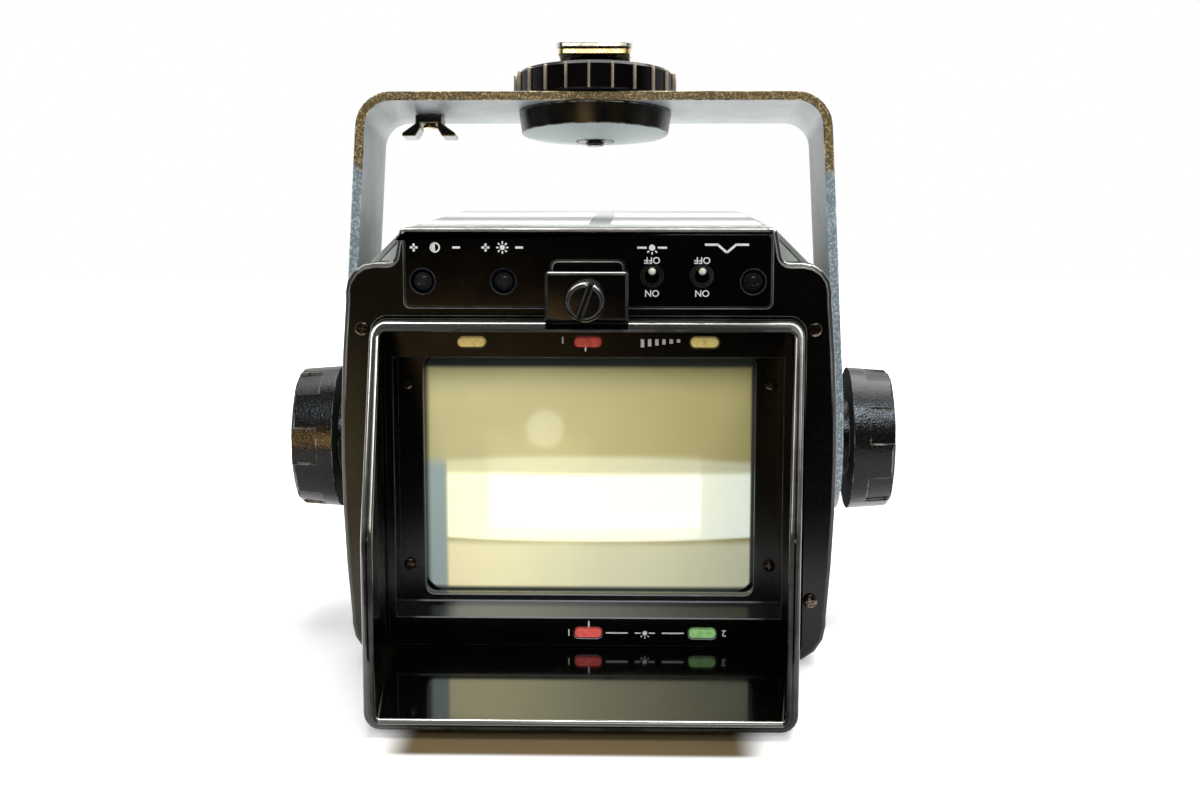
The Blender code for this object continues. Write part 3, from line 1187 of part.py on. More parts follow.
def tube_wall(inset, face_inset, neck_inset, rear_overrun):
    """Rings of the tube's skin from the face's middle back to the neck."""
    face, skirt, neck_start, end = tube_places()
    face += face_inset
    rings = [[Vector((0, face, TUBE_Z))]]
    half_width = TUBE_HALF_WIDTH - inset
    half_height = TUBE_HALF_HEIGHT - inset
    for share in TUBE_FACE_RING_SHARES:
        width = half_width * share
        height = half_height * share
        rings.append(tube_section(width, height, TUBE_CORNER * share,
                                  face + tube_sag(width, height)))
    rings.append(tube_section(half_width, half_height, TUBE_CORNER, skirt))
    neck = TUBE_NECK_RADIUS - neck_inset
    for share in TUBE_FUNNEL_RING_SHARES:
        width = half_width + (neck - half_width) * share
        height = half_height + (neck - half_height) * share
        corner = max(TUBE_CORNER, min(width, height) * share)
        rings.append(tube_section(width, height, corner, skirt + TUBE_FUNNEL * share))
    rings.append(tube_section(neck, neck, neck, end + rear_overrun))
    return rings


def make_tube():
    """Glass picture tube, open at the neck's end where the socket closes it."""
    outer = tube_wall(0, 0, 0, 0)
    inner = tube_wall(TUBE_GLASS, TUBE_FACE_GLASS, TUBE_NECK_GLASS, CUT_OVERRUN)
    shape = cut(loft(outer), loft(inner))
    return node("picture_tube", shape, material("tube_glass", (0.55, 0.54, 0.44), 0.08))


def make_tube_mount():
    """Steel plate behind the bezel, and the band with ears round the tube."""
    skirt = tube_places()[1]
    front = BEZEL_BACK + SEAT_GAP
    back = front + MOUNT_PLATE_THICKNESS
    half = BEZEL_REAR_HALF - MOUNT_PLATE_EDGE
    low = LOWER_LAMP_Z + LAMP_BOARD_HALF_HEIGHT + SEAT_GAP
    high = UPPER_LAMP_Z - LAMP_BOARD_HALF_HEIGHT - SEAT_GAP
    plate = slab(box_outline(-half, half, low, high), "Y", front, back)
    hole = slab(box_outline(-WINDOW_HALF_WIDTH - SEAT_GAP, WINDOW_HALF_WIDTH + SEAT_GAP,
                            WINDOW_FOOT - SEAT_GAP, WINDOW_TOP + SEAT_GAP, WINDOW_RADIUS),
                "Y", front - CUT_OVERRUN, back + CUT_OVERRUN)
    plate = cut(plate, hole)
    band_back = skirt
    band_front = skirt - BAND_WIDTH
    ring_inner = TUBE_HALF_WIDTH + SEAT_GAP
    rise_inner = TUBE_HALF_HEIGHT + SEAT_GAP
    outer = box_outline(-ring_inner - BAND_THICKNESS, ring_inner + BAND_THICKNESS,
                        TUBE_Z - rise_inner - BAND_THICKNESS,
                        TUBE_Z + rise_inner + BAND_THICKNESS, TUBE_CORNER + BAND_THICKNESS)
    inner = offset(outer, BAND_THICKNESS)
    band = cut(slab(outer, "Y", band_front, band_back),
               slab(inner, "Y", band_front - CUT_OVERRUN, band_back + CUT_OVERRUN))
    ear_front = back + SEAT_GAP
    for x, z in bezel_screw_places():
        hole = cylinder(SMALL_SCREW_SHANK + SEAT_GAP, front - CUT_OVERRUN, back + CUT_OVERRUN,
                        SCREW_SIDES, "Y", (x, z))
        plate = cut(plate, hole)
        root = math.copysign(ring_inner + BAND_THICKNESS / 2, x)
        tip = root + math.copysign(EAR_WIDTH, x)
        low_x, high_x = sorted((root, tip))
        ear = box(low_x, high_x, ear_front, band_back, z - EAR_WIDTH / 2, z + EAR_WIDTH / 2)
        bore = cylinder(SMALL_SCREW_SHANK + SEAT_GAP, ear_front - CUT_OVERRUN,
                        ear_front + BEZEL_SCREW_LENGTH, SCREW_SIDES, "Y", (x, z))
        band = cut(join(band, ear), bore)
    finish = material("tube_mount_steel", STEEL, 0.4, 1.0)
    node("tube_mount_plate", plate, finish)
    node("tube_band", band, finish)


def make_deflection_coil():
    """Flared deflection coil round the neck, resting against the funnel."""
    start = tube_places()[2] + SEAT_GAP
    end = start + COIL_LENGTH
    bore = TUBE_NECK_RADIUS + SEAT_GAP
    lip = start + COIL_LENGTH / 4
    profile = [(bore, start), (COIL_FRONT_RADIUS, start), (COIL_FRONT_RADIUS, lip),
               (COIL_REAR_RADIUS, end - COIL_LENGTH / 4), (COIL_REAR_RADIUS, end), (bore, end)]
    shape = turned(profile, ROUND_SIDES, "Y", (0, TUBE_Z), closed=True)
    return node("deflection_coil", shape, material("coil_copper", (0.45, 0.20, 0.08), 0.4, 0.5))


def make_neck_socket():
    """Socket on the neck's end, and the small board that carries it."""
    start = tube_places()[3] + SEAT_GAP
    back = start + SOCKET_LENGTH
    socket = cylinder(SOCKET_RADIUS, start, back, SMALL_SIDES, "Y", (0, TUBE_Z))
    front = back - SOCKET_BOARD_THICKNESS
    board = slab(box_outline(-SOCKET_BOARD_HALF, SOCKET_BOARD_HALF, TUBE_Z - SOCKET_BOARD_HALF,
                             TUBE_Z + SOCKET_BOARD_HALF), "Y", front,
                 front + SOCKET_BOARD_THICKNESS * 2)
    node("neck_socket_board", join(socket, board),
         material("neck_board_green", (0.05, 0.22, 0.10), 0.5))


def standoff_places():
    """Centres (x, y) of the posts that carry the main board."""
    half = SHELL_HALF_WIDTH - SHELL_WALL - BOARD_INSET * 2
    return [(x, y) for x in (-half, half)
            for y in (TRAY_FRONT + BOARD_INSET * 2, TRAY_REAR - BOARD_INSET * 2)]


def make_chassis():
    """Tray on the cover's rails, with the main board, and the transformer."""
    half = SHELL_HALF_WIDTH - SHELL_WALL - SEAT_GAP
    tray_top = TRAY_Z + TRAY_THICKNESS
    tray = box(-half, half, TRAY_FRONT, TRAY_REAR, TRAY_Z, tray_top)
    board_low = tray_top + STANDOFF_HEIGHT
    board_top = board_low + BOARD_THICKNESS
    board = box(-half + BOARD_INSET, half - BOARD_INSET, TRAY_FRONT + BOARD_INSET,
                TRAY_REAR - BOARD_INSET, board_low, board_top)
    for x, y in standoff_places():
        post = cylinder(STANDOFF_RADIUS, tray_top - TRAY_THICKNESS / 2, board_low - SEAT_GAP,
                        SCREW_SIDES, "Z", (x, y))
        tray = join(tray, post)
    node("chassis_tray", tray, material("tray_aluminium", (0.70, 0.70, 0.70), 0.4, 1.0))
    for place in (-1, 0, 1):
        can = cylinder(CAPACITOR_RADIUS, board_top - BOARD_THICKNESS / 2,
                       board_top + CAPACITOR_HEIGHT, SMALL_SIDES, "Z",
                       (place * CAPACITOR_SPACING, (TRAY_FRONT + TRAY_REAR) / 2))
        board = join(board, can)
    node("main_board", board, material("main_board_green", (0.05, 0.22, 0.10), 0.5))
    top = TRAY_Z - SEAT_GAP
    block = box(FLYBACK_X - FLYBACK_HALF, FLYBACK_X + FLYBACK_HALF, FLYBACK_Y - FLYBACK_HALF,
                FLYBACK_Y + FLYBACK_HALF, top - FLYBACK_HEIGHT, top)
    core = box(FLYBACK_X - FLYBACK_CORE, FLYBACK_X + FLYBACK_CORE,
               FLYBACK_Y - FLYBACK_HALF - FLYBACK_CORE, FLYBACK_Y + FLYBACK_HALF + FLYBACK_CORE,
               top - FLYBACK_HEIGHT + FLYBACK_CORE, top - FLYBACK_CORE)
    node("flyback_transformer", join(block, core),
         material("flyback_black", (0.04, 0.04, 0.05), 0.4))


def make_connector():
    """Round rear connector with its square flange and pins."""
    front = SHELL_REAR + SEAT_GAP
    face = front + REAR_PANEL_THICKNESS + SEAT_GAP
    centre = (CONNECTOR_X, CONNECTOR_Z)
    body = cylinder(CONNECTOR_RADIUS, front - CONNECTOR_SUNK, face + CONNECTOR_PROUD,
                    SMALL_SIDES, "Y", centre)
    flange = slab(box_outline(CONNECTOR_X - CONNECTOR_FLANGE_HALF,
                              CONNECTOR_X + CONNECTOR_FLANGE_HALF,
                              CONNECTOR_Z - CONNECTOR_FLANGE_HALF,
                              CONNECTOR_Z + CONNECTOR_FLANGE_HALF, SHOE_CORNER, steps=3),
                  "Y", face, face + CONNECTOR_FLANGE_THICKNESS)
    well = cylinder(CONNECTOR_RADIUS - CONNECTOR_WALL, front, face + CONNECTOR_PROUD + CUT_OVERRUN,
                    SMALL_SIDES, "Y", centre)
    shape = cut(join(body, flange), well)
    ring = (CONNECTOR_RADIUS - CONNECTOR_WALL) * 2 / 3
    for point in circle(ring, CONNECTOR_PIN_COUNT, centre):
        pin = cylinder(CONNECTOR_PIN_RADIUS, front - CONNECTOR_WALL, front + CONNECTOR_PIN_LENGTH,
                       SCREW_SIDES // 2, "Y", point)
        shape = join(shape, pin)
    return node("rear_connector", shape, material("connector_metal", STEEL, 0.35, 0.9))


# Screws

def screw(head, shank, length, axis, centre, seat, point):
    """Cross-head screw whose shank points along +1 or -1 of its axis."""
    height = head * HEAD_HEIGHT_SHARE
    profile = [(0, -height), (head * 2 / 3, -height), (head, -height / 3), (head, 0),
               (shank, 0), (shank, length), (0, length)]
    profile = [(radius, seat + point * along) for radius, along in profile]
    shape = turned(profile, SCREW_SIDES, axis, centre)
    half = head * CROSS_WIDTH_SHARE / 2
    depth = height * CROSS_DEPTH_SHARE
    top = seat - point * height
    reach = head * 2 / 3
    low, high = sorted((top - point * depth, top + point * depth))
    for across, tall in ((reach, half), (half, reach)):
        arm = slab(box_outline(centre[0] - across, centre[0] + across, centre[1] - tall,
                               centre[1] + tall), axis, low, high)
        shape = cut(shape, arm)
    return shape


def make_screws():
    """The screws of the front frame and of the screen surround."""
    steel = material("screw_steel", STEEL, 0.3, 1.0)
    for index, place in enumerate(frame_screw_places(), 1):
        shape = screw(FRAME_SCREW_HEAD, FRAME_SCREW_SHANK, FRAME_SCREW_LENGTH, "Y", place,
                      FRONT - SEAT_GAP, 1)
        node(f"frame_screw_{index}", shape, steel)
    for index, place in enumerate(bezel_screw_places(), 1):
        shape = screw(SMALL_SCREW_HEAD, SMALL_SCREW_SHANK, BEZEL_SCREW_LENGTH, "Y", place,
                      RECESS_PLANE - SEAT_GAP, 1)
        node(f"bezel_screw_{index}", shape, steel)


clear_scene()
make_front_frame()
make_cabinet_shell()
make_rear_panel()
make_bezel()
make_lamps()
make_lamp_boards()
make_control_panel()
make_potentiometers()
make_knobs()
make_switches()
make_control_board()
make_hood()
make_hood_tab()
make_thumbscrew()
yoke = carrier("yoke_axis", (0, 0, PIVOT_HEIGHT), -YOKE_LEAN)
make_yoke(yoke)
make_pivot_hardware(yoke)
make_swivel(yoke)
make_clip(yoke)
make_shoe(yoke)
make_lock_wheel(yoke)
make_tube()
make_tube_mount()
make_deflection_coil()
make_neck_socket()
make_chassis()
make_connector()
make_screws()
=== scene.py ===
import math

import bmesh
import bpy
from mathutils import Matrix, Vector
from mathutils.bvhtree import BVHTree


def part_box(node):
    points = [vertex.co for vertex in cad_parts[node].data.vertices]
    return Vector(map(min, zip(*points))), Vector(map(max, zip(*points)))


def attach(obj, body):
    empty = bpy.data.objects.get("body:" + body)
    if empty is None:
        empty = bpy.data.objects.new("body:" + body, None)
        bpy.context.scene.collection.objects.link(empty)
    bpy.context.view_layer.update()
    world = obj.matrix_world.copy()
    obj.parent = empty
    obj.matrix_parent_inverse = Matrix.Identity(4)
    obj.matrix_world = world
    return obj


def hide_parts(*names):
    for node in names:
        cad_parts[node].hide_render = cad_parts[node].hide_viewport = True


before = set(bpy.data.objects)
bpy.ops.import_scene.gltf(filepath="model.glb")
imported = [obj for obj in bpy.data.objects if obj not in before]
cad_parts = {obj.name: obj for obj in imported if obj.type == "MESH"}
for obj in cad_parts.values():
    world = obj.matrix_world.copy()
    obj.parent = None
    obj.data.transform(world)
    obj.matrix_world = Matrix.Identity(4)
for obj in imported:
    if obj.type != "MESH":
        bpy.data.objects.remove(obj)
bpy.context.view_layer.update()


# Camera
# Where the photograph was taken from: half a metre in front of the screen, just above the
# viewfinder, a little to its right, looking slightly down.
CAMERA_PLACE = (0.0155, -0.559, 0.150)
CAMERA_TILT, CAMERA_TURN = math.radians(82.01), math.radians(1.386)
FOCAL_LENGTH_MM, SENSOR_WIDTH_MM = 50.85, 36.0
NEAREST_SEEN = 0.01


def put_in_scene(name, data):
    """A new object that holds the given mesh, lamp or camera."""
    thing = bpy.data.objects.new(name, data)
    bpy.context.collection.objects.link(thing)
    return thing


camera_data = bpy.data.cameras.new("camera")
camera_data.lens = FOCAL_LENGTH_MM
camera_data.sensor_width = SENSOR_WIDTH_MM
camera_data.clip_start = NEAREST_SEEN
camera = put_in_scene("camera", camera_data)
camera.location = CAMERA_PLACE
camera.rotation_euler = (CAMERA_TILT, 0, CAMERA_TURN)
bpy.context.scene.camera = camera
bpy.context.scene.view_settings.view_transform = "Standard"


# Table, white surroundings and soft lamps
# The viewfinder stands on a white table, with the hood's shadow painted on it in brown, in an
# all-white studio that is dark behind the camera. A broad ceiling lamp and a weak front lamp
# light it, and a few narrow lamps are mirrored by one kind of piece only.
class Wire:
    """One socket of a node tree. Arithmetic on it adds Math nodes."""

    def __init__(self, recipe, socket):
        self.recipe = recipe
        self.socket = socket

    def math(self, operation, first, second):
        return self.recipe.add("ShaderNodeMath", {"operation": operation}, {0: first, 1: second})

    def __add__(self, other):
        return self.math("ADD", self, other)

    def __sub__(self, other):
        return self.math("SUBTRACT", self, other)

    def __rsub__(self, other):
        return self.math("SUBTRACT", other, self)

    def __mul__(self, other):
        return self.math("MULTIPLY", self, other)

    def over(self, other):
        return self.math("MAXIMUM", self, other)

    def under(self, other):
        return self.math("MINIMUM", self, other)

    __radd__ = __add__
    __rmul__ = __mul__


class Recipe:
    """A node tree being written. One method makes every node."""

    def __init__(self, tree):
        self.tree = tree

    def add(self, kind, settings=None, values=None, out=0):
        node = self.tree.nodes.new(kind)
        for key, value in (settings or {}).items():
            setattr(node, key, value)
        for key, value in (values or {}).items():
            if isinstance(value, Wire):
                self.tree.links.new(value.socket, node.inputs[key])
            else:
                node.inputs[key].default_value = value
        return Wire(self, node.outputs[out]) if node.outputs else None

    def step(self, value, low, high):
        """0 below low, 1 above high, smooth between."""
        return self.add("ShaderNodeMapRange", {"interpolation_type": "SMOOTHSTEP"},
                        {"Value": value, "From Min": low, "From Max": high})

    def between(self, value, low, high, soft):
        """1 from low to high, with soft ends."""
        return self.step(value, low - soft, low + soft) * (
            1 - self.step(value, high - soft, high + soft))


class Finish(Recipe):
    """A material being written, in object coordinates and metres."""

    def __init__(self, name):
        self.material = bpy.data.materials.new(name)
        self.material.use_nodes = True
        super().__init__(self.material.node_tree)
        self.tree.nodes.clear()
        self.place = self.add("ShaderNodeTexCoord", out="Object")

    def axis(self, letter):
        return self.add("ShaderNodeSeparateXYZ", None, {0: self.place}, out=letter)

    def grain(self, size, detail=3.0, rough=0.5, stretch=None, turn=(0, 0, 0)):
        """Noise whose lumps are about that size, from 0 to 1."""
        at = self.place
        if stretch:
            at = self.add("ShaderNodeMapping", None, {"Vector": at, "Rotation": turn})
            at = self.add("ShaderNodeVectorMath", {"operation": "MULTIPLY"},
                          {0: at, 1: [1 / length for length in stretch]})
        return self.add("ShaderNodeTexNoise", None, {"Vector": at, "Scale": 1 / size,
                                                     "Detail": detail, "Roughness": rough})

    def cells(self, size, feature):
        """A cell pattern whose cells are about that size."""
        return self.add("ShaderNodeTexVoronoi", {"feature": feature},
                        {"Vector": self.place, "Scale": 1 / size})

    def mix(self, share, first, second):
        first, second = [(*c, 1.0) if isinstance(c, tuple) and len(c) == 3 else c
                         for c in (first, second)]
        return self.add("ShaderNodeMix", {"data_type": "RGBA"}, {0: share, 6: first, 7: second},
                        out=2)

    def mark(self, name):
        """What a piece's faces carry under that name: 1 where they are marked."""
        return self.add("ShaderNodeAttribute", {"attribute_name": name}, out="Fac")

    def edge(self):
        """1 on the rounded edges of a dressed piece."""
        return self.mark("edge")

    def scratches(self, length=0.02, width=0.00022, share=0.30):
        """Fine straight scratches in three directions."""
        marks = None
        for turn in ((0.5, 0.3, 0.4), (1.9, 0.2, -0.6), (0.1, 1.2, 2.2)):
            line = self.grain(width, 1.0, 0.4, (length / width, 1, 1), turn)
            line = self.step(line, 0.74 - share / 10, 0.78)
            marks = line if marks is None else marks.over(line)
        return marks * self.step(self.grain(0.02), 0.40, 0.62)

    def end(self, height=None, depth=0.0001, **values):
        """The shader: plain numbers go straight onto its sockets."""
        names = {"colour": "Base Color", "rough": "Roughness", "metal": "Metallic",
                 "coat": "Coat Weight", "coat_rough": "Coat Roughness",
                 "shine": "Specular IOR Level", "glow": "Emission Color",
                 "glow_strength": "Emission Strength"}
        inputs = {names[key]: value for key, value in values.items()}
        if height is not None:
            inputs["Normal"] = self.add("ShaderNodeBump", None,
                                        {"Height": height, "Distance": depth})
        shader = self.add("ShaderNodeBsdfPrincipled", None, inputs)
        self.add("ShaderNodeOutputMaterial", None, {"Surface": shader})
        return self.material


def tone(red, green, blue):
    """A colour as it shows on screen, 0 to 255, in the linear numbers that shaders take."""
    return tuple(c / 255 / 12.92 if c <= 10 else ((c / 255 + 0.055) / 1.055) ** 2.4
                 for c in (red, green, blue))


TABLE_FRONT, TABLE_BACK, TABLE_HALF = -0.20, 1.6, 1.6
HOOD_SHADOW_X, HOOD_SHADOW_X_SOFT = (-0.0485, 0.0455), 0.0060
HOOD_SHADOW_Y, HOOD_SHADOW_Y_SOFT = (-0.1465, -0.115), 0.0025

table_mesh = bpy.data.meshes.new("table")
table_mesh.from_pydata([(-TABLE_HALF, TABLE_FRONT, 0), (TABLE_HALF, TABLE_FRONT, 0),
                        (TABLE_HALF, TABLE_BACK, 0), (-TABLE_HALF, TABLE_BACK, 0)],
                       [], [(0, 1, 2, 3)])
table = put_in_scene("table", table_mesh)

tabletop = Finish("white_tabletop")
seen = (tabletop.add("ShaderNodeLightPath", out="Is Camera Ray")
        + tabletop.add("ShaderNodeLightPath", out="Is Glossy Ray")
        + tabletop.add("ShaderNodeLightPath", out="Is Transmission Ray")).under(1.0)
cloudy = tabletop.grain(0.05) * 0.02 + 0.87
grey = tabletop.add("ShaderNodeCombineColor", None, {0: cloudy, 1: cloudy, 2: cloudy})
# The hood's shadow on the table is painted here in brown, and the table's lift is cut under it.
painted_hood_shadow = (tabletop.between(tabletop.axis("X"), *HOOD_SHADOW_X, HOOD_SHADOW_X_SOFT)
              * tabletop.between(tabletop.axis("Y"), *HOOD_SHADOW_Y, HOOD_SHADOW_Y_SOFT))
lit = tabletop.add("ShaderNodeBsdfDiffuse", None, {
    "Color": tabletop.mix(painted_hood_shadow * 0.95, grey, (0.090, 0.055, 0.006))})
from_middle = tabletop.add("ShaderNodeVectorMath", {"operation": "LENGTH"},
                           {0: tabletop.place}, out="Value")
far_away = tabletop.step(from_middle, 0.16, 0.42)
lift = seen * (far_away * 0.5 + 0.36) * (1 - painted_hood_shadow)
lifted = tabletop.add("ShaderNodeEmission", None, {"Strength": lift})
both = tabletop.add("ShaderNodeAddShader", None, {0: lit, 1: lifted})
tabletop.add("ShaderNodeOutputMaterial", None, {"Surface": both})
table_mesh.materials.append(tabletop.material)

DARKEST_MIRRORED, BACK_MIRRORED, CEILING_MIRRORED = 0.008, 0.95, 0.16
SOAKED_LIGHT = 0.30
WARM_PATCH_COLOUR, WARM_PATCH_STRENGTH = (1.0, 0.62, 0.26, 1), 1.15

studio = bpy.data.worlds.new("studio")
studio.use_nodes = True
bpy.context.scene.world = studio
walls = Recipe(studio.node_tree)
walls.tree.nodes.clear()
direction = walls.add("ShaderNodeTexCoord", out="Generated")
sideways, towards_back, upwards = [
    walls.add("ShaderNodeSeparateXYZ", None, {0: direction}, out=letter) for letter in "XYZ"]
mirrored_light = walls.step(towards_back, -0.35, 0.25).over(
    walls.step(upwards, 0.42, 0.85) * CEILING_MIRRORED) * BACK_MIRRORED + DARKEST_MIRRORED
warm_patch = (walls.step(upwards, -0.17, -0.13) * (1 - walls.step(upwards, -0.105, -0.075))
              * walls.step(sideways, -0.34, -0.28) * (1 - walls.step(sideways, -0.06, 0.0))
              * (1 - walls.step(towards_back, -0.4, -0.2)))
seen_directly = (walls.add("ShaderNodeLightPath", out="Is Camera Ray")
                 + walls.add("ShaderNodeLightPath", out="Is Transmission Ray")).under(1.0)
mirrored = walls.add("ShaderNodeLightPath", out="Is Glossy Ray")
soaked = walls.add("ShaderNodeLightPath", out="Is Diffuse Ray")
brightness = seen_directly.over(mirrored * mirrored_light).over(soaked * SOAKED_LIGHT)
glow = walls.add("ShaderNodeBackground", None,
                 {"Color": WARM_PATCH_COLOUR,
                  "Strength": mirrored * warm_patch * WARM_PATCH_STRENGTH})
plain = walls.add("ShaderNodeBackground", None, {"Color": (1, 1, 1, 1), "Strength": brightness})
walls.add("ShaderNodeOutputWorld", None,
          {"Surface": walls.add("ShaderNodeAddShader", None, {0: plain, 1: glow})})


def lamp(name, place, target, size, power, colour=(1, 1, 1), glossy=True, diffuse=True):
    """A flat softbox that faces its target and isn't seen by the camera."""
    data = bpy.data.lights.new(name, "AREA")
    data.shape = "RECTANGLE"
    data.size, data.size_y = size
    data.energy = power
    data.color = colour
    box = put_in_scene(name, data)
    box.location = place
    box.rotation_euler = (Vector(target) - Vector(place)).to_track_quat("-Z", "Y").to_euler()
    box.visible_camera = False
    box.visible_transmission = False
    box.visible_glossy = glossy
    box.visible_diffuse = diffuse
    return box


def mirrored_lamp(*values):
    """A lamp that only shows as a reflection."""
    return lamp(*values, diffuse=False)


def shared_lamps(name, *boxes):
    """Lamps that only shine on the pieces put into the collection that this gives back."""
    lit = bpy.data.collections.new(name)
    for box in boxes:
        box.light_linking.receiver_collection = lit
    return lit


WARM_WHITE, COLD_WHITE, AMBER_LIGHT = (1.0, 0.96, 0.86), (0.78, 0.88, 1.0), (1.0, 0.62, 0.24)

lamp("ceiling_lamp", (0.20, 0.42, 1.25), (0, 0, 0.08), (1.3, 1.0), 30.0)
lamp("front_lamp", (0.10, -1.5, 0.75), (0, 0, 0.06), (1.2, 0.8), 14.0, glossy=False)
mirrored_lamp("front_highlight", (0.15, -0.95, 1.00), (0, 0, 0.08), (0.50, 0.22), 1.6)
screen_only = shared_lamps(
    "mirrored_in_the_screen",
    mirrored_lamp("table_glare", (-0.008, -0.246, 0.0012), (-0.008, -0.246, 1.0012),
                  (0.210, 0.168), 0.5, (1.0, 1.0, 1.0)),
    mirrored_lamp("table_glare_edge", (0.0, -0.2995, 0.0010), (0.0, -0.2995, 1.0010),
                  (0.640, 0.329), 1.0, (0.98, 1.0, 0.95)),
    mirrored_lamp("round_spot", (-0.0605, -0.400, 0.0405), (-0.0605, 8.6, 1.0405),
                  (0.042, 0.042), 0.016, (1.0, 0.97, 0.86)))
bpy.data.lights["round_spot"].shape = "ELLIPSE"
black_pieces = shared_lamps(
    "mirrored_in_black_pieces",
    mirrored_lamp("strip_above", (0, 0.060, 0.60), (0, 0.060, 0), (1.2, 0.20), 16.0, WARM_WHITE))
knobs_only = shared_lamps(
    "mirrored_in_the_knobs",
    mirrored_lamp("cold_window", (0.15, -0.70, 0.92), (0, 0, 0.06), (0.60, 0.26), 24.0,
                  COLD_WHITE),
    mirrored_lamp("warm_door", (-0.276, -1.0, 0.108), (-0.09, 0, 0.06), (0.28, 0.08), 6.0,
                  AMBER_LIGHT))
flange_only = shared_lamps(
    "mirrored_in_the_flange",
    mirrored_lamp("warm_glint", (-0.20, -0.80, 0.09), (0, 0, 0.158), (0.30, 0.14), 0.8,
                  (1.0, 0.62, 0.28)))


# Front frame
# One casting in light metal, sprayed semi-gloss black, that holds the cover, the screen
# surround and the controls. Four screws fix it. Its upper edges are painted pale, as wear and
# as a painted highlight, and low on the left its black takes a painted brownish reflection.
MERGE_DISTANCE, FLAT_WITHIN = 2e-6, math.radians(0.6)
BLACKS_WITH_A_STRIP_LAMP = set()


def dressed(node, body, finish, width=0.00025, corner=28, steps=2, marks=None):
    """A copy of a CAD node with its facets merged and its edges rounded, in that node's place."""
    mesh = bpy.data.objects[node].data.copy()
    form = bmesh.new()
    form.from_mesh(mesh)
    bmesh.ops.remove_doubles(form, verts=form.verts, dist=MERGE_DISTANCE)
    bmesh.ops.dissolve_limit(form, angle_limit=FLAT_WITHIN, verts=form.verts,
                             edges=form.edges, delimit=set())
    form.to_mesh(mesh)
    form.free()
    mesh.shade_smooth()
    mesh.materials.clear()
    for _ in ("faces", "rounded edges"):
        mesh.materials.append(finish)
    piece = put_in_scene(node + "_dressed", mesh)
    rounding = piece.modifiers.new("rounded edges", "BEVEL")
    rounding.limit_method = "ANGLE"
    rounding.angle_limit = math.radians(corner)
    rounding.width = width
    rounding.segments = steps
    rounding.use_clamp_overlap = False
    rounding.material = 1
    level = piece.modifiers.new("level faces", "WEIGHTED_NORMAL")
    level.mode = "FACE_AREA"
    level.weight = 80
    return settled(piece, body, finish, [node], marks)


def baked(piece):
    """Turns what a piece's modifiers make into its plain mesh."""
    bpy.context.view_layer.update()
    placed = piece.evaluated_get(bpy.context.evaluated_depsgraph_get())
    mesh = bpy.data.meshes.new_from_object(placed)
    piece.modifiers.clear()
    piece.data = mesh
    return mesh


def settled(piece, body, finish, nodes=(), marks=None):
    """Bakes a piece's modifiers, marks its rounded edges, and hands it to its body."""
    mesh = baked(piece)
    if "edge" not in mesh.attributes:
        mesh.attributes.new("edge", "FLOAT", "FACE").data.foreach_set(
            "value", [float(face.material_index == 1) for face in mesh.polygons])
        mesh.polygons.foreach_set("material_index", [0] * len(mesh.polygons))
    for mark, chosen in (marks or {}).items():
        mesh.attributes.new(mark, "FLOAT", "FACE").data.foreach_set(
            "value", [float(chosen(face)) for face in mesh.polygons])
    mesh.materials.clear()
    mesh.materials.append(finish)
    if finish in BLACKS_WITH_A_STRIP_LAMP:
        black_pieces.objects.link(piece)
    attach(piece, body)
    if nodes:
        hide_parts(*nodes)
    return piece


def black_finish(name, colour, cloudy_colour, rough, worn, wear=0.5, dust_and_sheen=0.08, peel=0.000012,
                 coat=None, shine=0.5, mirrors=True, pale_edge_height=-1.0, highlight_mark=None, touch=None):
    """Sprayed or moulded black: clouded, dusty, finely scratched, pale on its edges.

    The pale edges are wear and also painted highlight lines. pale_edge_height is the height above
    which edges go pale. highlight_mark names a mark whose faces are painted pale all over as a
    highlight. coat and touch are functions that give the clear coat and retouch the colour.
    """
    paint = Finish(name)
    cloud = paint.step(paint.grain(0.03), 0.40, 0.68)
    smudge = paint.grain(0.009, 4.0, 0.6)
    specks = paint.step(paint.grain(0.0007, 2.0), 0.66, 0.76) * dust_and_sheen
    marks = paint.scratches()
    patchy = paint.step(paint.grain(0.014, 3.0, 0.6), 0.38, 0.66) * 0.70 + 0.30
    lit_and_worn_above = paint.step(paint.axis("Z"), pale_edge_height - 0.03, pale_edge_height)
    worn_and_highlit = (paint.edge() * wear * lit_and_worn_above * patchy).under(1.0)
    if highlight_mark:
        worn_and_highlit = worn_and_highlit.over(paint.mark(highlight_mark))
    clear_coat = coat(paint) if coat else 0.0
    shade = paint.mix(cloud, colour, cloudy_colour)
    if touch:
        shade = touch(paint, shade)
    shade = paint.mix(specks.over(marks * 0.05), shade, (0.10, 0.10, 0.09))
    shade = paint.mix(worn_and_highlit, shade, worn)
    if mirrors:
        BLACKS_WITH_A_STRIP_LAMP.add(paint.material)
    roughness = rough + (smudge - 0.5) * 0.12 + specks * 0.3 + marks * 0.12
    return paint.end(colour=shade, metal=worn_and_highlit * 0.5, rough=roughness, shine=shine,
                     coat=clear_coat, coat_rough=0.05,
                     height=paint.grain(0.0016, 2.0) - marks * 0.3, depth=peel)


def brown_reflection_low_left(colour):
    """Paints a brownish reflection into black paint, low on the left, in clouds."""
    def touch(paint, shade):
        on_left = 1 - paint.step(paint.axis("X"), -0.070, -0.054)
        low = 1 - paint.step(paint.axis("Z"), 0.060, 0.110)
        clouds = 0.45 + paint.grain(0.03) * 0.55
        return paint.mix(on_left * low * clouds, shade, colour)
    return touch


frame_black = black_finish(
    "sprayed_frame_black", (0.0010, 0.0013, 0.0012), (0.0020, 0.0019, 0.0016), 0.22,
    (0.42, 0.42, 0.40), wear=0.8, peel=0.00001, shine=0.3, pale_edge_height=0.100,
    touch=brown_reflection_low_left((0.060, 0.050, 0.026)))
dressed("front_frame", "housing", frame_black, 0.00028, steps=3)
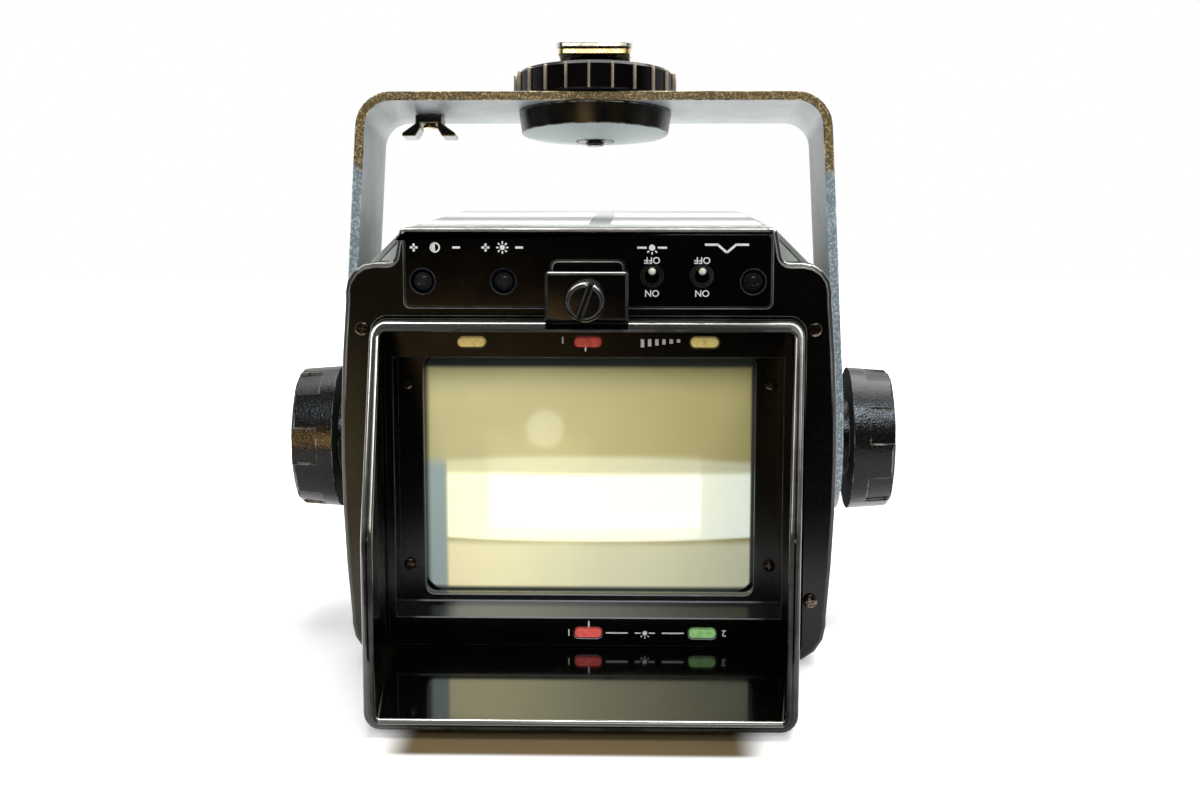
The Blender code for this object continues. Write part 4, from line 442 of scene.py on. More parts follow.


# Sheet cover with two blank label plates
# Aluminium sheet folded over the chassis, painted light grey, with a lip at each front shoulder
# in a paler copy of the grey, painted light on those slopes. Two thin blank plates are glued on
# top where the real one has its labels.
LIP_BACK, LIP_THICKNESS = -0.0519, 0.0006
LIP_INNER, LIP_OUTER, LIP_LOW, LIP_HIGH = 0.0544, 0.0640, 0.1184, 0.1280
LABEL_THICKNESS, LABEL_CORNER_RADIUS = 0.00025, 0.0012
LABEL_FRONT, LABEL_BACK = -0.045, 0.058
LABELS = {"left_label_plate": (-0.0515, -0.0005), "right_label_plate": (0.0062, 0.0520)}
CHIPPED_BARE = (0.45, 0.45, 0.44)


def grey_paint(name, colour, dark):
    """Sprayed grey paint on metal, soiled in clouds and chipped to bare metal on its edges."""
    paint = Finish(name)
    cloud = paint.step(paint.grain(0.045, 4.0), 0.30, 0.70)
    fine = paint.grain(0.0009, 3.0, 0.7)
    marks = paint.scratches(0.015, 0.0002, 0.6)
    chipped = paint.edge() * paint.step(paint.grain(0.003, 4.0, 0.7), 0.46, 0.66)
    shade = paint.mix(cloud, dark, colour)
    shade = paint.mix(paint.step(fine, 0.60, 0.75) * 0.35, shade, dark)
    shade = paint.mix(marks * 0.4, shade, (0.30, 0.30, 0.29))
    shade = paint.mix(chipped, shade, CHIPPED_BARE)
    return paint.end(colour=shade, metal=chipped * 0.8, rough=0.40 + (fine - 0.5) * 0.2,
                     height=fine - chipped, depth=0.00004)


def mesh_of(form, name):
    """Ends the editing of a form and gives it back as a mesh."""
    mesh = bpy.data.meshes.new(name)
    form.to_mesh(mesh)
    form.free()
    return mesh


def prism(name, corners, along):
    """A closed prism: the flat outline through the corners, pushed along a vector."""
    form = bmesh.new()
    outline = form.faces.new([form.verts.new(corner) for corner in corners])
    pushed = bmesh.ops.extrude_face_region(form, geom=[outline])["geom"]
    bmesh.ops.translate(form, verts=[v for v in pushed if isinstance(v, bmesh.types.BMVert)],
                        vec=along)
    bmesh.ops.recalc_face_normals(form, faces=form.faces)
    return mesh_of(form, name)


cover_paint = grey_paint("cover_grey_paint", tone(170, 175, 170), tone(144, 149, 143))
dressed("cabinet_shell", "housing", cover_paint, 0.0004)

# A lighter copy of the cover's grey: the light on the front shoulders, painted in.
lip_paint_lit = grey_paint("cover_lip_paint", tone(214, 221, 217), tone(186, 193, 188))
for hand, side in (("left", -1), ("right", 1)):
    lip_name = f"cover_front_lip_{hand}"
    lip_mesh = prism(lip_name, [(side * x, LIP_BACK, z) for x, z in (
        (LIP_INNER, LIP_LOW), (LIP_OUTER, LIP_LOW), (LIP_INNER, LIP_HIGH))],
        (0, -LIP_THICKNESS, 0))
    settled(put_in_scene(lip_name, lip_mesh), "housing", lip_paint_lit)

cover_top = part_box("cabinet_shell")[1].z
for label, (label_left, label_right) in LABELS.items():
    form = bmesh.new()
    bmesh.ops.create_cube(form, size=1.0)
    bmesh.ops.scale(form, verts=form.verts, vec=(label_right - label_left,
                                                 LABEL_BACK - LABEL_FRONT, LABEL_THICKNESS))
    upright = [e for e in form.edges if abs(e.verts[0].co.z - e.verts[1].co.z) > 1e-6]
    bmesh.ops.bevel(form, geom=upright, offset=LABEL_CORNER_RADIUS, segments=4, affect="EDGES",
                    profile=0.5)
    bmesh.ops.translate(form, verts=form.verts, vec=(
        (label_left + label_right) / 2, (LABEL_FRONT + LABEL_BACK) / 2,
        cover_top + LABEL_THICKNESS / 2))
    foil = Finish(label + "_foil")
    cloudy_foil = foil.grain(0.012, 4.0)
    stain = foil.step(cloudy_foil, 0.45, 0.7)
    settled(put_in_scene(label, mesh_of(form, label)), "housing", foil.end(
        colour=foil.mix(stain * 0.3, tone(252, 253, 252), tone(236, 240, 236)),
        rough=0.36 + cloudy_foil * 0.15, height=cloudy_foil, depth=0.00002))


# Rear panel
# A flat sheet sprayed black that closes the back of the cover, with a round hole for the
# connector. Six screws hold it.
rear_black = black_finish("rear_sprayed_black", (0.008, 0.008, 0.008), (0.013, 0.012, 0.011),
                          0.38, (0.30, 0.30, 0.30), wear=0.5, peel=0.00003)
dressed("rear_panel", "housing", rear_black, 0.0003)


# Screen surround
# One moulding of satin black plastic: lamp strips above and below, a recess with a sloping
# ledge, and the window that the picture tube looks through.
def ledge_sheen(paint, shade):
    """Painted sheen on the ledge, strongest on the left, and painted highlights on its rims."""
    ledge = paint.mark("ledge")
    along = paint.axis("X")
    thinning = 1 - paint.step(along, -0.040, 0.050) * 0.95
    dust_and_sheen = ledge * paint.step(along, -0.046, -0.038) * thinning
    shade = paint.mix(dust_and_sheen, shade, (0.25, 0.26, 0.27))
    between_corners = 1 - paint.step(along * along, 0.0024, 0.0029)
    highlight_border = ledge * paint.edge() * between_corners
    return paint.mix(highlight_border * 0.8, shade, (0.35, 0.37, 0.40))


# The ledge under the window carries a painted pale sheen and painted highlight lines on its rims.
bezel_black = black_finish(
    "moulded_bezel_black", (0.0010, 0.0012, 0.0012), (0.0020, 0.0018, 0.0014), 0.20,
    (0.13, 0.13, 0.11), wear=0.25, peel=0.00001, touch=ledge_sheen)


def on_ledge(face):
    """The slope under the window, where a pale sheen is painted."""
    return face.normal.z > 0.25 and face.normal.y < -0.1 and face.center.z < 0.020


dressed("screen_bezel", "housing", bezel_black, 0.0003, marks={"ledge": on_ledge})


# Signal lamps
# Five small rectangular lenses of tinted plastic, set in the screen surround: three above the
# screen and two below it. A narrow green board stands behind each row.
def glowing_lens_finish(name, colour, deep):
    """Tinted translucent plastic, a little deeper in colour in patches, with a weak painted glow.
    """
    plastic = Finish(name)
    fleck = plastic.grain(0.0020, 3.0)
    share = plastic.step(fleck, 0.20, 0.60)
    shade = plastic.mix(share, deep, colour)
    return plastic.end(colour=shade, rough=0.20 + fleck * 0.15, coat=0.5, coat_rough=0.05,
                       height=fleck, depth=0.00001, glow=shade, glow_strength=0.25)


# A weak painted glow brightens every lens, and the lower red one is a lighter copy, painted as lit.
amber = glowing_lens_finish("amber_lens", tone(232, 208, 128), tone(214, 186, 104))
red = glowing_lens_finish("red_lens", tone(190, 72, 60), tone(160, 56, 48))
lit_red = glowing_lens_finish("lower_red_lens_plastic", tone(236, 100, 92), tone(220, 84, 76))
green = glowing_lens_finish("green_lens", tone(160, 214, 140), tone(130, 190, 112))
for node, finish, slot in (("upper_amber_lens_left", amber, "lens_amber"),
                           ("upper_red_lens", red, "lens_red"),
                           ("upper_amber_lens_right", amber, "lens_amber"),
                           ("lower_red_lens", lit_red, "lens_red"),
                           ("lower_green_lens", green, "lens_green")):
    dressed(node, "housing", finish, 0.00025)


def board_finish(name, colour, copper):
    """Green laminate with tinned tracks under its lacquer."""
    board = Finish(name)
    tracks = board.step(board.cells(0.004, "DISTANCE_TO_EDGE"), 0.06, 0.10)
    return board.end(colour=board.mix(tracks, copper, colour), rough=0.35 + tracks * 0.1,
                     coat=0.4, height=1 - tracks, depth=0.00003)


def painted_node(node, finish):
    """A CAD node that keeps its own shape and gets a finish."""
    for place in bpy.data.objects[node].material_slots:
        place.material = finish


lamp_board = board_finish("lamp_board_green", (0.02, 0.09, 0.03), (0.10, 0.20, 0.06))
painted_node("upper_lamp_board", lamp_board)
painted_node("lower_lamp_board", lamp_board)


# Control plate
# A glossy black plate flush in the frame's raised middle, bored for three adjusters, two
# switches and the hood's boss. Its marks are printed upside down, as the unit stands.
PRINT_THICKNESS = 0.00008
LETTER_HEIGHT, FIGURE_HEIGHT = 0.0019, 0.0020
FONT_SIZE_OF_HEIGHT, BOLDER_OF_HEIGHT = 1.42, 0.02
RIGHT_HALF, UPPER_RAYS = -90.0, (45.0, 135.0)

panel_black = black_finish(
    "glossy_panel_black", (0.0008, 0.0010, 0.0010), (0.0016, 0.0015, 0.0012), 0.08,
    (0.20, 0.21, 0.22), wear=0.6, dust_and_sheen=0.05, peel=0.000002, shine=0.4)
dressed("control_panel", "housing", panel_black, 0.0002)

white_ink = Finish("white_print")
thin_ink = white_ink.step(white_ink.grain(0.0006, 3.0, 0.7), 0.25, 0.45)
ink_shade = white_ink.mix(thin_ink, (0.45, 0.45, 0.43), (0.86, 0.86, 0.84))
white_print = white_ink.end(colour=ink_shade, rough=0.5 - thin_ink * 0.1, height=thin_ink,
                            depth=0.00001)


def flat_shape(outline):
    """A thin prism from an outline in millimetres."""
    return prism("printed_shape", [(u / 1000, v / 1000, 0) for u, v in outline],
                 (0, 0, PRINT_THICKNESS))


def bar(u, v, wide, high, turn=0.0):
    """A straight stroke about its middle, turned by so many degrees."""
    c, s = math.cos(math.radians(turn)), math.sin(math.radians(turn))
    return flat_shape([(u + a * wide / 2 * c - b * high / 2 * s,
                        v + a * wide / 2 * s + b * high / 2 * c)
                       for a, b in ((-1, -1), (1, -1), (1, 1), (-1, 1))])


def half_disc(u, v, radius, inner=0.0, start=0.0):
    """Half a disc, or half a ring when it has an inner radius."""
    turns = [math.radians(start + 180.0 * k / 16) for k in range(17)]
    outline = [(u + radius * math.cos(a), v + radius * math.sin(a)) for a in turns]
    if inner:
        outline += [(u + inner * math.cos(a), v + inner * math.sin(a)) for a in reversed(turns)]
    return flat_shape(outline)


def disc(u, v, radius):
    return [half_disc(u, v, radius), half_disc(u, v, radius, start=180.0)]


def ring(u, v, radius, line):
    return [half_disc(u, v, radius, radius - line, start) for start in (0.0, 180.0)]


def rays(u, v, inner, outer, line, count, start=0.0, sweep=360.0):
    """Short strokes that point away from one spot."""
    middle, length = (inner + outer) / 2, outer - inner
    turns = [start + sweep * k / count for k in range(count)]
    return [bar(u + middle * math.cos(math.radians(a)), v + middle * math.sin(math.radians(a)),
                length, line, a) for a in turns]


def minus_and_plus(reach):
    """A minus on the left of a control and a plus on its right."""
    return [bar(-reach, 0, 2.3, 0.65), bar(reach, 0, 2.3, 0.65), bar(reach, 0, 0.65, 2.3)]


def lettering(words, height):
    """Plain raised letters or figures, as a mesh."""
    curve = bpy.data.curves.new("lettering", "FONT")
    curve.body, curve.align_x, curve.align_y = words, "CENTER", "CENTER"
    curve.size, curve.offset = height * FONT_SIZE_OF_HEIGHT, height * BOLDER_OF_HEIGHT
    curve.extrude = PRINT_THICKNESS / 2
    holder = put_in_scene("lettering", curve)
    bpy.context.view_layer.update()
    mesh = bpy.data.meshes.new_from_object(
        holder.evaluated_get(bpy.context.evaluated_depsgraph_get()))
    bpy.data.objects.remove(holder)
    return [mesh]


def printed(name, node, marks):
    """Marks on a front face, turned upside down as the unit stands, as one mesh."""
    form = bmesh.new()
    front = bpy.data.objects[node].data
    surface = BVHTree.FromPolygons([v.co for v in front.vertices],
                                   [face.vertices for face in front.polygons])
    for x, z, shapes in marks:
        where = surface.ray_cast(Vector((x, -1, z)), Vector((0, 1, 0)))[0]
        place = (Matrix.Translation((x, where.y, z)) @ Matrix.Rotation(math.pi, 4, "Y")
                 @ Matrix.Rotation(math.pi / 2, 4, "X"))
        for shape in shapes:
            shape.transform(place)
            form.from_mesh(shape)
    settled(put_in_scene(name, mesh_of(form, name)), "housing", white_print)


peak = [bar(-4.6, -0.9, 3.6, 0.65), bar(4.6, -0.9, 3.6, 0.65), bar(-1.45, 0.15, 3.7, 0.65, 40),
        bar(1.45, 0.15, 3.7, 0.65, -40)]
switch_words = [(x, z, lettering(words, LETTER_HEIGHT)) for x in (0.0187, 0.0333)
                for z, words in ((0.1209, "OFF"), (0.1113, "ON"))]
printed("panel_marks", "control_panel", [
    (-0.0446, 0.1245, minus_and_plus(6.2) + ring(0, 0, 1.5, 0.45)
     + [half_disc(0, 0, 1.2, start=RIGHT_HALF)]),
    (-0.0249, 0.1245, minus_and_plus(4.9) + disc(0, 0, 0.75) + rays(0, 0, 1.1, 1.8, 0.45, 8)),
    (0.0187, 0.1245, disc(0, 0, 0.9) + rays(0, 0, 1.6, 4.3, 0.6, 2)
     + rays(0, 0, 1.3, 2.0, 0.45, 3, *UPPER_RAYS)),
    (0.0404, 0.1245, peak)] + switch_words)
printed("bezel_marks", "screen_bezel", [
    (-0.0074, 0.0975, lettering("1", FIGURE_HEIGHT)),
    (-0.0007, 0.0950, [bar(0, 0, 0.45, 1.7)]),
    (0.0213, 0.0966, [bar(u, (1.0 + 0.28 * k - 2.4) / 2, 1.0, 1.0 + 0.28 * k)
                      for k, u in enumerate((-5.2, -3.1, -1.0, 1.1, 3.2, 5.3))]),
    (0.0002, 0.01185, [bar(0, 0, 0.45, 1.9)]),
    (0.0086, 0.00915, [bar(0, 0, 6.6, 0.4)]), (0.0254, 0.00915, [bar(0, 0, 6.6, 0.4)]),
    (0.0170, 0.00915, disc(0, 0, 0.7) + rays(0, 0, 1.2, 3.0, 0.35, 2)
     + rays(0, 0, 1.1, 1.7, 0.3, 3, *UPPER_RAYS)),
    (-0.0058, 0.0093, lettering("1", FIGURE_HEIGHT)),
    (0.0407, 0.0093, lettering("2", FIGURE_HEIGHT))])


# Turning controls
# Three black plastic caps with knurled sides and domed ends, pushed on the shafts of small
# square potentiometers, which sit on a green board behind the plate.
NO_RADIUS, SMOOTHED_WITHIN = 1e-7, math.radians(32)


def lathe(name, profile, sides):
    """A closed ring or solid turned about Z from (radius, height) points."""
    form = bmesh.new()
    rings = []
    for radius, height in profile:
        if radius < NO_RADIUS:
            rings.append([form.verts.new((0, 0, height))])
        else:
            rings.append([form.verts.new((radius * math.cos(turn), radius * math.sin(turn), height))
                          for turn in (2 * math.pi * k / sides for k in range(sides))])
    bored = len(rings[0]) > 1 and len(rings[-1]) > 1
    for first, second in zip(rings, rings[1:] + (rings[:1] if bored else [])):
        for k in range(sides):
            after = (k + 1) % sides
            corners = [first[k % len(first)], first[after % len(first)],
                       second[after % len(second)], second[k % len(second)]]
            form.faces.new(list(dict.fromkeys(corners)))
    bmesh.ops.recalc_face_normals(form, faces=form.faces)
    mesh = mesh_of(form, name)
    mesh.shade_smooth()
    mesh.set_sharp_from_angle(angle=SMOOTHED_WITHIN)
    return mesh


def rounded_block(name, wide, deep, high, rounding):
    """A block with all its edges rounded, centred, and marked as worn."""
    form = bmesh.new()
    bmesh.ops.create_cube(form, size=1.0)
    bmesh.ops.scale(form, verts=form.verts, vec=(wide, deep, high))
    bmesh.ops.bevel(form, geom=form.edges[:], offset=rounding, segments=2, affect="EDGES",
                    profile=0.5)
    mesh = mesh_of(form, name)
    mesh.shade_smooth()
    mesh.attributes.new("edge", "FLOAT", "FACE").data.foreach_set(
        "value", [1.0] * len(mesh.polygons))
    return mesh


def new_group(name, inputs):
    """A Geometry Nodes tree with these inputs: its recipe, its input wires and their keys."""
    tree = bpy.data.node_groups.new(name, "GeometryNodeTree")
    keys = {}
    for label, kind in inputs.items():
        socket = tree.interface.new_socket(label, in_out="INPUT", socket_type="NodeSocket" + kind)
        keys[label] = socket.identifier
    tree.interface.new_socket("Result", in_out="OUTPUT", socket_type="NodeSocketGeometry")
    recipe = Recipe(tree)
    return recipe, {label: recipe.add("NodeGroupInput", out=label) for label in inputs}, keys


def close_group(recipe, copies, finish):
    """Makes the copies real, gives them their finish and hands them out."""
    solid = recipe.add("GeometryNodeRealizeInstances", None, {"Geometry": copies})
    solid = recipe.add("GeometryNodeSetMaterial", None, {"Geometry": solid, "Material": finish})
    recipe.add("NodeGroupOutput", None, {"Result": solid})
    return recipe.tree


def ring_recipe():
    """Geometry Nodes: one shape repeated round the Z axis, joined to the body that it is on."""
    recipe, given, keys = new_group("repeat_round_axis", {
        "Body": "Geometry", "Shape": "Object", "Count": "Int", "Radius": "Float",
        "Height": "Float", "Finish": "Material"})
    circle = recipe.add("GeometryNodeMeshCircle", {"fill_type": "NONE"},
                        {"Vertices": given["Count"], "Radius": given["Radius"]})
    lift = recipe.add("ShaderNodeCombineXYZ", None, {"Z": given["Height"]})
    circle = recipe.add("GeometryNodeTransform", None, {"Geometry": circle, "Translation": lift})
    place = recipe.add("GeometryNodeInputPosition")
    outwards = recipe.add("ShaderNodeVectorMath", {"operation": "MULTIPLY"},
                          {0: place, 1: (1, 1, 0)})
    turn = recipe.add("FunctionNodeAlignRotationToVector", {"axis": "X", "pivot_axis": "Z"},
                      {"Vector": outwards})
    shape = recipe.add("GeometryNodeObjectInfo", None, {"Object": given["Shape"]},
                       out="Geometry")
    copies = recipe.add("GeometryNodeInstanceOnPoints", None,
                        {"Points": circle, "Instance": shape, "Rotation": turn})
    joined = recipe.add("GeometryNodeJoinGeometry", None, {"Geometry": copies})
    recipe.tree.links.new(given["Body"].socket, joined.socket.node.inputs["Geometry"])
    return close_group(recipe, joined, given["Finish"]), keys


repeat_round, repeat_inputs = ring_recipe()


def grow(piece, tree, keys, values):
    """Puts a Geometry Nodes tree on a piece and sets its inputs by their keys."""
    modifier = piece.modifiers.new(tree.name, "NODES")
    modifier.node_group = tree
    for label, value in values.items():
        modifier[keys[label]] = value


def ringed(name, body_mesh, shape_mesh, count, radius, height, finish):
    """A body with copies of a shape round it, as one plain mesh."""
    shape = bpy.data.objects.new(name + "_shape", shape_mesh)
    piece = put_in_scene(name, body_mesh)
    body_mesh.attributes.new("edge", "FLOAT", "FACE")
    body_mesh.materials.append(finish)
    grow(piece, repeat_round, repeat_inputs, {"Shape": shape, "Count": count, "Radius": radius,
                                              "Height": height, "Finish": finish})
    baked(piece)
    bpy.data.objects.remove(shape)
    return piece


# The dome goes by steps: how far in from the cap's side, and how far down from its tip.
SHAFT_RADIUS, CAP_RADIUS, CAP_SIDES = 0.0015, 0.0024, 60
CAP_LENGTH, CAP_FOOT_BEVEL = 0.0060, 0.0004
CAP_DOME = ((0.0, 0.0013), (0.0002, 0.0009), (0.0006, 0.0005), (0.0012, 0.0002),
            (0.0018, 0.00005), (CAP_RADIUS, 0.0))
KNURLS, KNURL_SIZE, KNURL_ROUNDING = 20, (0.0004, 0.00034, 0.0044), 0.00012
KNURL_BELOW_TIP = 0.0032

knob_plastic = black_finish("adjuster_plastic", (0.007, 0.009, 0.008), (0.016, 0.018, 0.015),
                            0.16, (0.12, 0.13, 0.12), wear=0.5)
pot_blue = Finish("potentiometer_blue")
pot_cloud = pot_blue.grain(0.002)
pot_case = pot_blue.end(colour=pot_blue.mix(pot_cloud, (0.02, 0.06, 0.25), (0.05, 0.12, 0.35)),
                        rough=0.35 + pot_cloud * 0.2, height=pot_cloud, depth=0.00002)
for control, body in (("contrast", "contrast_adjuster"), ("bright", "bright_adjuster"),
                      ("peaking", "peaking_adjuster")):
    low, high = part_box(control + "_knob")
    tip, foot = -low.y, -high.y
    profile = [(0, foot), (SHAFT_RADIUS, foot), (SHAFT_RADIUS, tip - CAP_LENGTH),
               (CAP_RADIUS, tip - CAP_LENGTH + CAP_FOOT_BEVEL)]
    profile += [(CAP_RADIUS - inwards, tip - down) for inwards, down in CAP_DOME]
    cap = lathe(control + "_cap", profile, CAP_SIDES)
    knurl = rounded_block(control + "_knurl", *KNURL_SIZE, KNURL_ROUNDING)
    knob = ringed(control + "_knob_knurled", cap, knurl, KNURLS, CAP_RADIUS, tip - KNURL_BELOW_TIP,
                  knob_plastic)
    knob.data.transform(Matrix.Translation(((low.x + high.x) / 2, 0, (low.z + high.z) / 2))
                        @ Matrix.Rotation(math.radians(90), 4, "X"))
    settled(knob, body, knob_plastic, [control + "_knob"])
    painted_node(control + "_potentiometer", pot_case)
painted_node("control_board", board_finish("control_board_green", (0.02, 0.08, 0.03),
                                           (0.09, 0.18, 0.06)))


# Toggle switches
# Two miniature toggles behind the plate: blackened metal bodies whose bushes stand in its
# holes, and black levers with white tips.
LEVER_ALONG_Y, LEVER_ALONG_Z = -0.875, -0.485
LEVER_TIP_FROM = 0.0040


def bare_metal(name, colour, dark, rough, black_below=-1.0):
    """Bare or plated metal, finely grained, dulled and stained; blackened below a height."""
    metal = Finish(name)
    grained = metal.grain(0.0004, 3.0, 0.6)
    stain = metal.step(metal.grain(0.006, 4.0, 0.6), 0.42, 0.72)
    marks = metal.scratches(0.008, 0.00015, 0.5)
    bright = metal.step(metal.axis("Z"), black_below, black_below + 0.001)
    shade = metal.mix(bright, (0.004, 0.004, 0.004), metal.mix(stain, colour, dark))
    return metal.end(colour=shade, metal=bright * (1.0 - stain * 0.15),
                     rough=rough + (grained - 0.5) * 0.25 + stain * 0.15,
                     height=grained - marks, depth=0.00001)


blackened = black_finish("blackened_bush", (0.0015, 0.0015, 0.0015), (0.004, 0.004, 0.003), 0.25,
                         (0.20, 0.20, 0.19), wear=0.3, mirrors=False)
lever_white = Finish("lever_white")
yellowed = lever_white.step(lever_white.grain(0.003), 0.4, 0.7)
along_lever = lever_white.axis("Y") * LEVER_ALONG_Y + lever_white.axis("Z") * LEVER_ALONG_Z
at_tip = lever_white.step(along_lever, LEVER_TIP_FROM, LEVER_TIP_FROM + 0.0001)
tip_shade = lever_white.mix(yellowed, tone(246, 246, 236), tone(226, 222, 204))
lever_tip = lever_white.end(colour=lever_white.mix(at_tip, (0.006, 0.006, 0.006), tip_shade),
                            rough=0.30 + yellowed * 0.15, height=yellowed, depth=0.00002)
for switch in ("tally", "peaking"):
    dressed(switch + "_switch_body", "housing", blackened, 0.00018)
    dressed(switch + "_switch_lever", switch + "_toggle", lever_tip, 0.0002)


# Picture tube
# A rectangular monochrome tube: curved glass over khaki phosphor, a dark border, a funnel
# coated in graphite, and a thin neck. The haze that the bright table lays on the glass is
# painted as a weak glow, because the hood shades the lamps that would give it. Painted shade
# darkens the phosphor to the right and at its left edge, and a painted reflection runs down its
# left.

# Where the parts of the picture start and end, in metres. A pair is a soft border's two ends.
FACE_FRONT, FACE_RADIUS, FACE_DEPTH = -0.0505, 0.350, 0.0065
GLASS_ENDS = (-0.0440, -0.0425)
WINDOW_LEFT, WINDOW_RIGHT = (-0.0507, -0.0485), (0.0488, 0.0496)
WINDOW_LOW, WINDOW_HIGH, WINDOW_SOFT = 0.0190, 0.0874, 0.0008
REFLECTION_STRIP_RIGHT, REFLECTION_STRIP_TOP = (-0.0449, -0.0432), (0.0560, 0.0610)
LOW_PART_TOP, LOW_LEFT_END = (0.0315, 0.0345), (-0.042, 0.010)
HAZE_FOOT, HAZE_FADES, HAZE_TOP = (0.0330, 0.0342), (0.0535, 0.0560), (0.0590, 0.0622)
HAZE_FOOT_SAG, HAZE_TOP_ARCH = 0.5, 0.9
UNLIT = (0.0, 0.0, 0.0)

glass = Finish("tube_glass")
side, height_up, depth_back = glass.axis("X"), glass.axis("Z"), glass.axis("Y")
front_of_tube = 1 - glass.step(depth_back, *GLASS_ENDS)
# The phosphor fades out over a wider span on the left than on the right: a painted soft shade.
in_window = (glass.step(side, *WINDOW_LEFT) * (1 - glass.step(side, *WINDOW_RIGHT))
             * glass.between(height_up, WINDOW_LOW, WINDOW_HIGH, WINDOW_SOFT))
mottle = glass.grain(0.02, 3.0)
# The phosphor is painted darker to the right: painted shade.
painted_shade_to_right = glass.step(side, -0.03, 0.05)
phosphor = glass.mix(painted_shade_to_right, tone(255, 246, 182), tone(210, 200, 136))
phosphor = glass.mix(glass.step(mottle, 0.35, 0.65) * 0.15, phosphor, tone(214, 202, 144))
# A blue-grey strip down the left of the phosphor, which also glows, is a painted reflection.
strip = ((1 - glass.step(side, *REFLECTION_STRIP_RIGHT)) * (1 - glass.step(height_up, *REFLECTION_STRIP_TOP))
         * front_of_tube)
phosphor = glass.mix(strip, phosphor, tone(178, 192, 186))
screen_shade = glass.mix(in_window, tone(78, 86, 80), phosphor)

low_part = 1 - glass.step(height_up + (mottle - 0.5) * 0.002, *LOW_PART_TOP)
low_left = low_part * (1 - glass.step(side + (mottle - 0.5) * 0.02, *LOW_LEFT_END))
veil = glass.mix(low_left, (0.22, 0.25, 0.24), (0.40, 0.37, 0.26))
veil = glass.mix(low_part, UNLIT, veil)
over_arch = glass.step(height_up + side * side * HAZE_TOP_ARCH, *HAZE_TOP)
above_foot = glass.step(height_up - side * side * HAZE_FOOT_SAG, *HAZE_FOOT)
fading = 1 - over_arch * 0.35 - glass.step(height_up, *HAZE_FADES) * 0.65
haze = above_foot * fading * (1 - over_arch)
haze_shade = glass.mix(glass.step(side, -0.02, 0.05), (0.68, 0.70, 0.52), (0.50, 0.58, 0.60))
veil = glass.mix(haze, veil, haze_shade)
veil = glass.mix(in_window * front_of_tube * (1 - strip), UNLIT, veil)
veil = glass.mix(strip * in_window, veil, (0.09, 0.12, 0.12))

graphite = glass.mix(mottle, (0.02, 0.02, 0.022), (0.05, 0.05, 0.05))
tube_glass = glass.end(colour=glass.mix(front_of_tube, graphite, screen_shade),
                       rough=0.5 - front_of_tube * 0.26 + mottle * 0.04, coat=1.0 - strip * 0.9,
                       coat_rough=0.06, glow=veil, glow_strength=1.0, shine=0.0)
tube = dressed("picture_tube", "housing", tube_glass, 0.0006, corner=40)
tube_low, tube_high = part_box("picture_tube")
ball = Vector((0, FACE_FRONT + FACE_RADIUS, (tube_low.z + tube_high.z) / 2))
normals = [tuple(corner.vector) for corner in tube.data.corner_normals]
for face in tube.data.polygons:
    if face.normal.y < -0.9 and face.center.y < FACE_FRONT + FACE_DEPTH:
        for corner in face.loop_indices:
            point = tube.data.vertices[tube.data.loops[corner].vertex_index].co
            normals[corner] = tuple((point - ball).normalized())
tube.data.normals_split_custom_set(normals)
screen_only.objects.link(tube)


# Tube mount, deflection coil, boards, tray and transformer
# The works behind the screen: a zinc-plated plate, band and tray that carry the tube and the
# boards, a coil wound in copper round the tube's neck, and a moulded transformer.
COIL_RADIANS_PER_METRE = 9000.0

plate_zinc = bare_metal("mount_plate_zinc", (0.55, 0.56, 0.55), (0.35, 0.36, 0.34), 0.4)
winding = Finish("coil_copper")
turns = winding.add("ShaderNodeMath", {"operation": "SINE"},
                    {0: winding.axis("Z") * COIL_RADIANS_PER_METRE})
coil_copper = winding.end(colour=winding.mix(turns * 0.5 + 0.5, (0.30, 0.09, 0.03),
                                             (0.62, 0.26, 0.10)),
                          rough=0.3 + turns * 0.05, metal=0.7, height=turns, depth=0.0001)
inner_black = black_finish("inner_moulded_black", (0.02, 0.02, 0.02), (0.03, 0.03, 0.03), 0.4,
                           (0.2, 0.2, 0.2))
inner_board = board_finish("main_board_green", (0.02, 0.10, 0.04), (0.12, 0.22, 0.08))
for node, finish in (("tube_mount_plate", plate_zinc), ("tube_band", plate_zinc),
                     ("deflection_coil", coil_copper), ("neck_socket_board", inner_board),
                     ("chassis_tray", plate_zinc), ("main_board", inner_board),
                     ("flyback_transformer", inner_black)):
    painted_node(node, finish)


# Hood
# A tapered glossy black moulding that slides over the screen surround, open at the front, with
# a tab on top that its thumbscrew clamps to the frame's boss.
def clear_coat_of_hood(paint):
    """A glossy coat that thins out to the right and along the dull side rims."""
    to_the_right = paint.step(paint.axis("X"), -0.045, 0.050)
    on_dull_rim = paint.step(paint.mark("wear") * -1.0, 0.0, 1.0)
    return (1 - to_the_right * 0.8) * (1 - on_dull_rim * 0.9)


# Low on the left the hood's black takes a painted brownish reflection, and its lower lip a painted
# highlight.
hood_black = black_finish(
    "glossy_hood_black", (0.0012, 0.0013, 0.0013), (0.0024, 0.0021, 0.0017), 0.10,
    (0.20, 0.205, 0.19), wear=0.30, dust_and_sheen=0.06, peel=0.000003, shine=0.12, highlight_mark="wear",
    touch=brown_reflection_low_left((0.075, 0.062, 0.038)), coat=clear_coat_of_hood)


def on_lip(face):
    """The rounding above the hood's lower lip, painted pale as a highlight."""
    return face.normal.z > 0.15 and face.normal.y < -0.15 and face.center.z < 0.010


def on_side_rim(face):
    """The duller roundings along the inside of the hood's side walls."""
    inwards = face.normal.x * face.center.x < 0 and abs(face.normal.x) > 0.15
    at_front = face.normal.y < -0.3 and abs(face.normal.z) < 0.6
    return inwards and (at_front or face.normal.z > 0.15 and face.center.z < 0.03)


def lip_highlight_and_dull_rim(face):
    """1 where the lip is painted pale as a highlight, -1 where its coat is dull."""
    return on_lip(face) - on_side_rim(face)


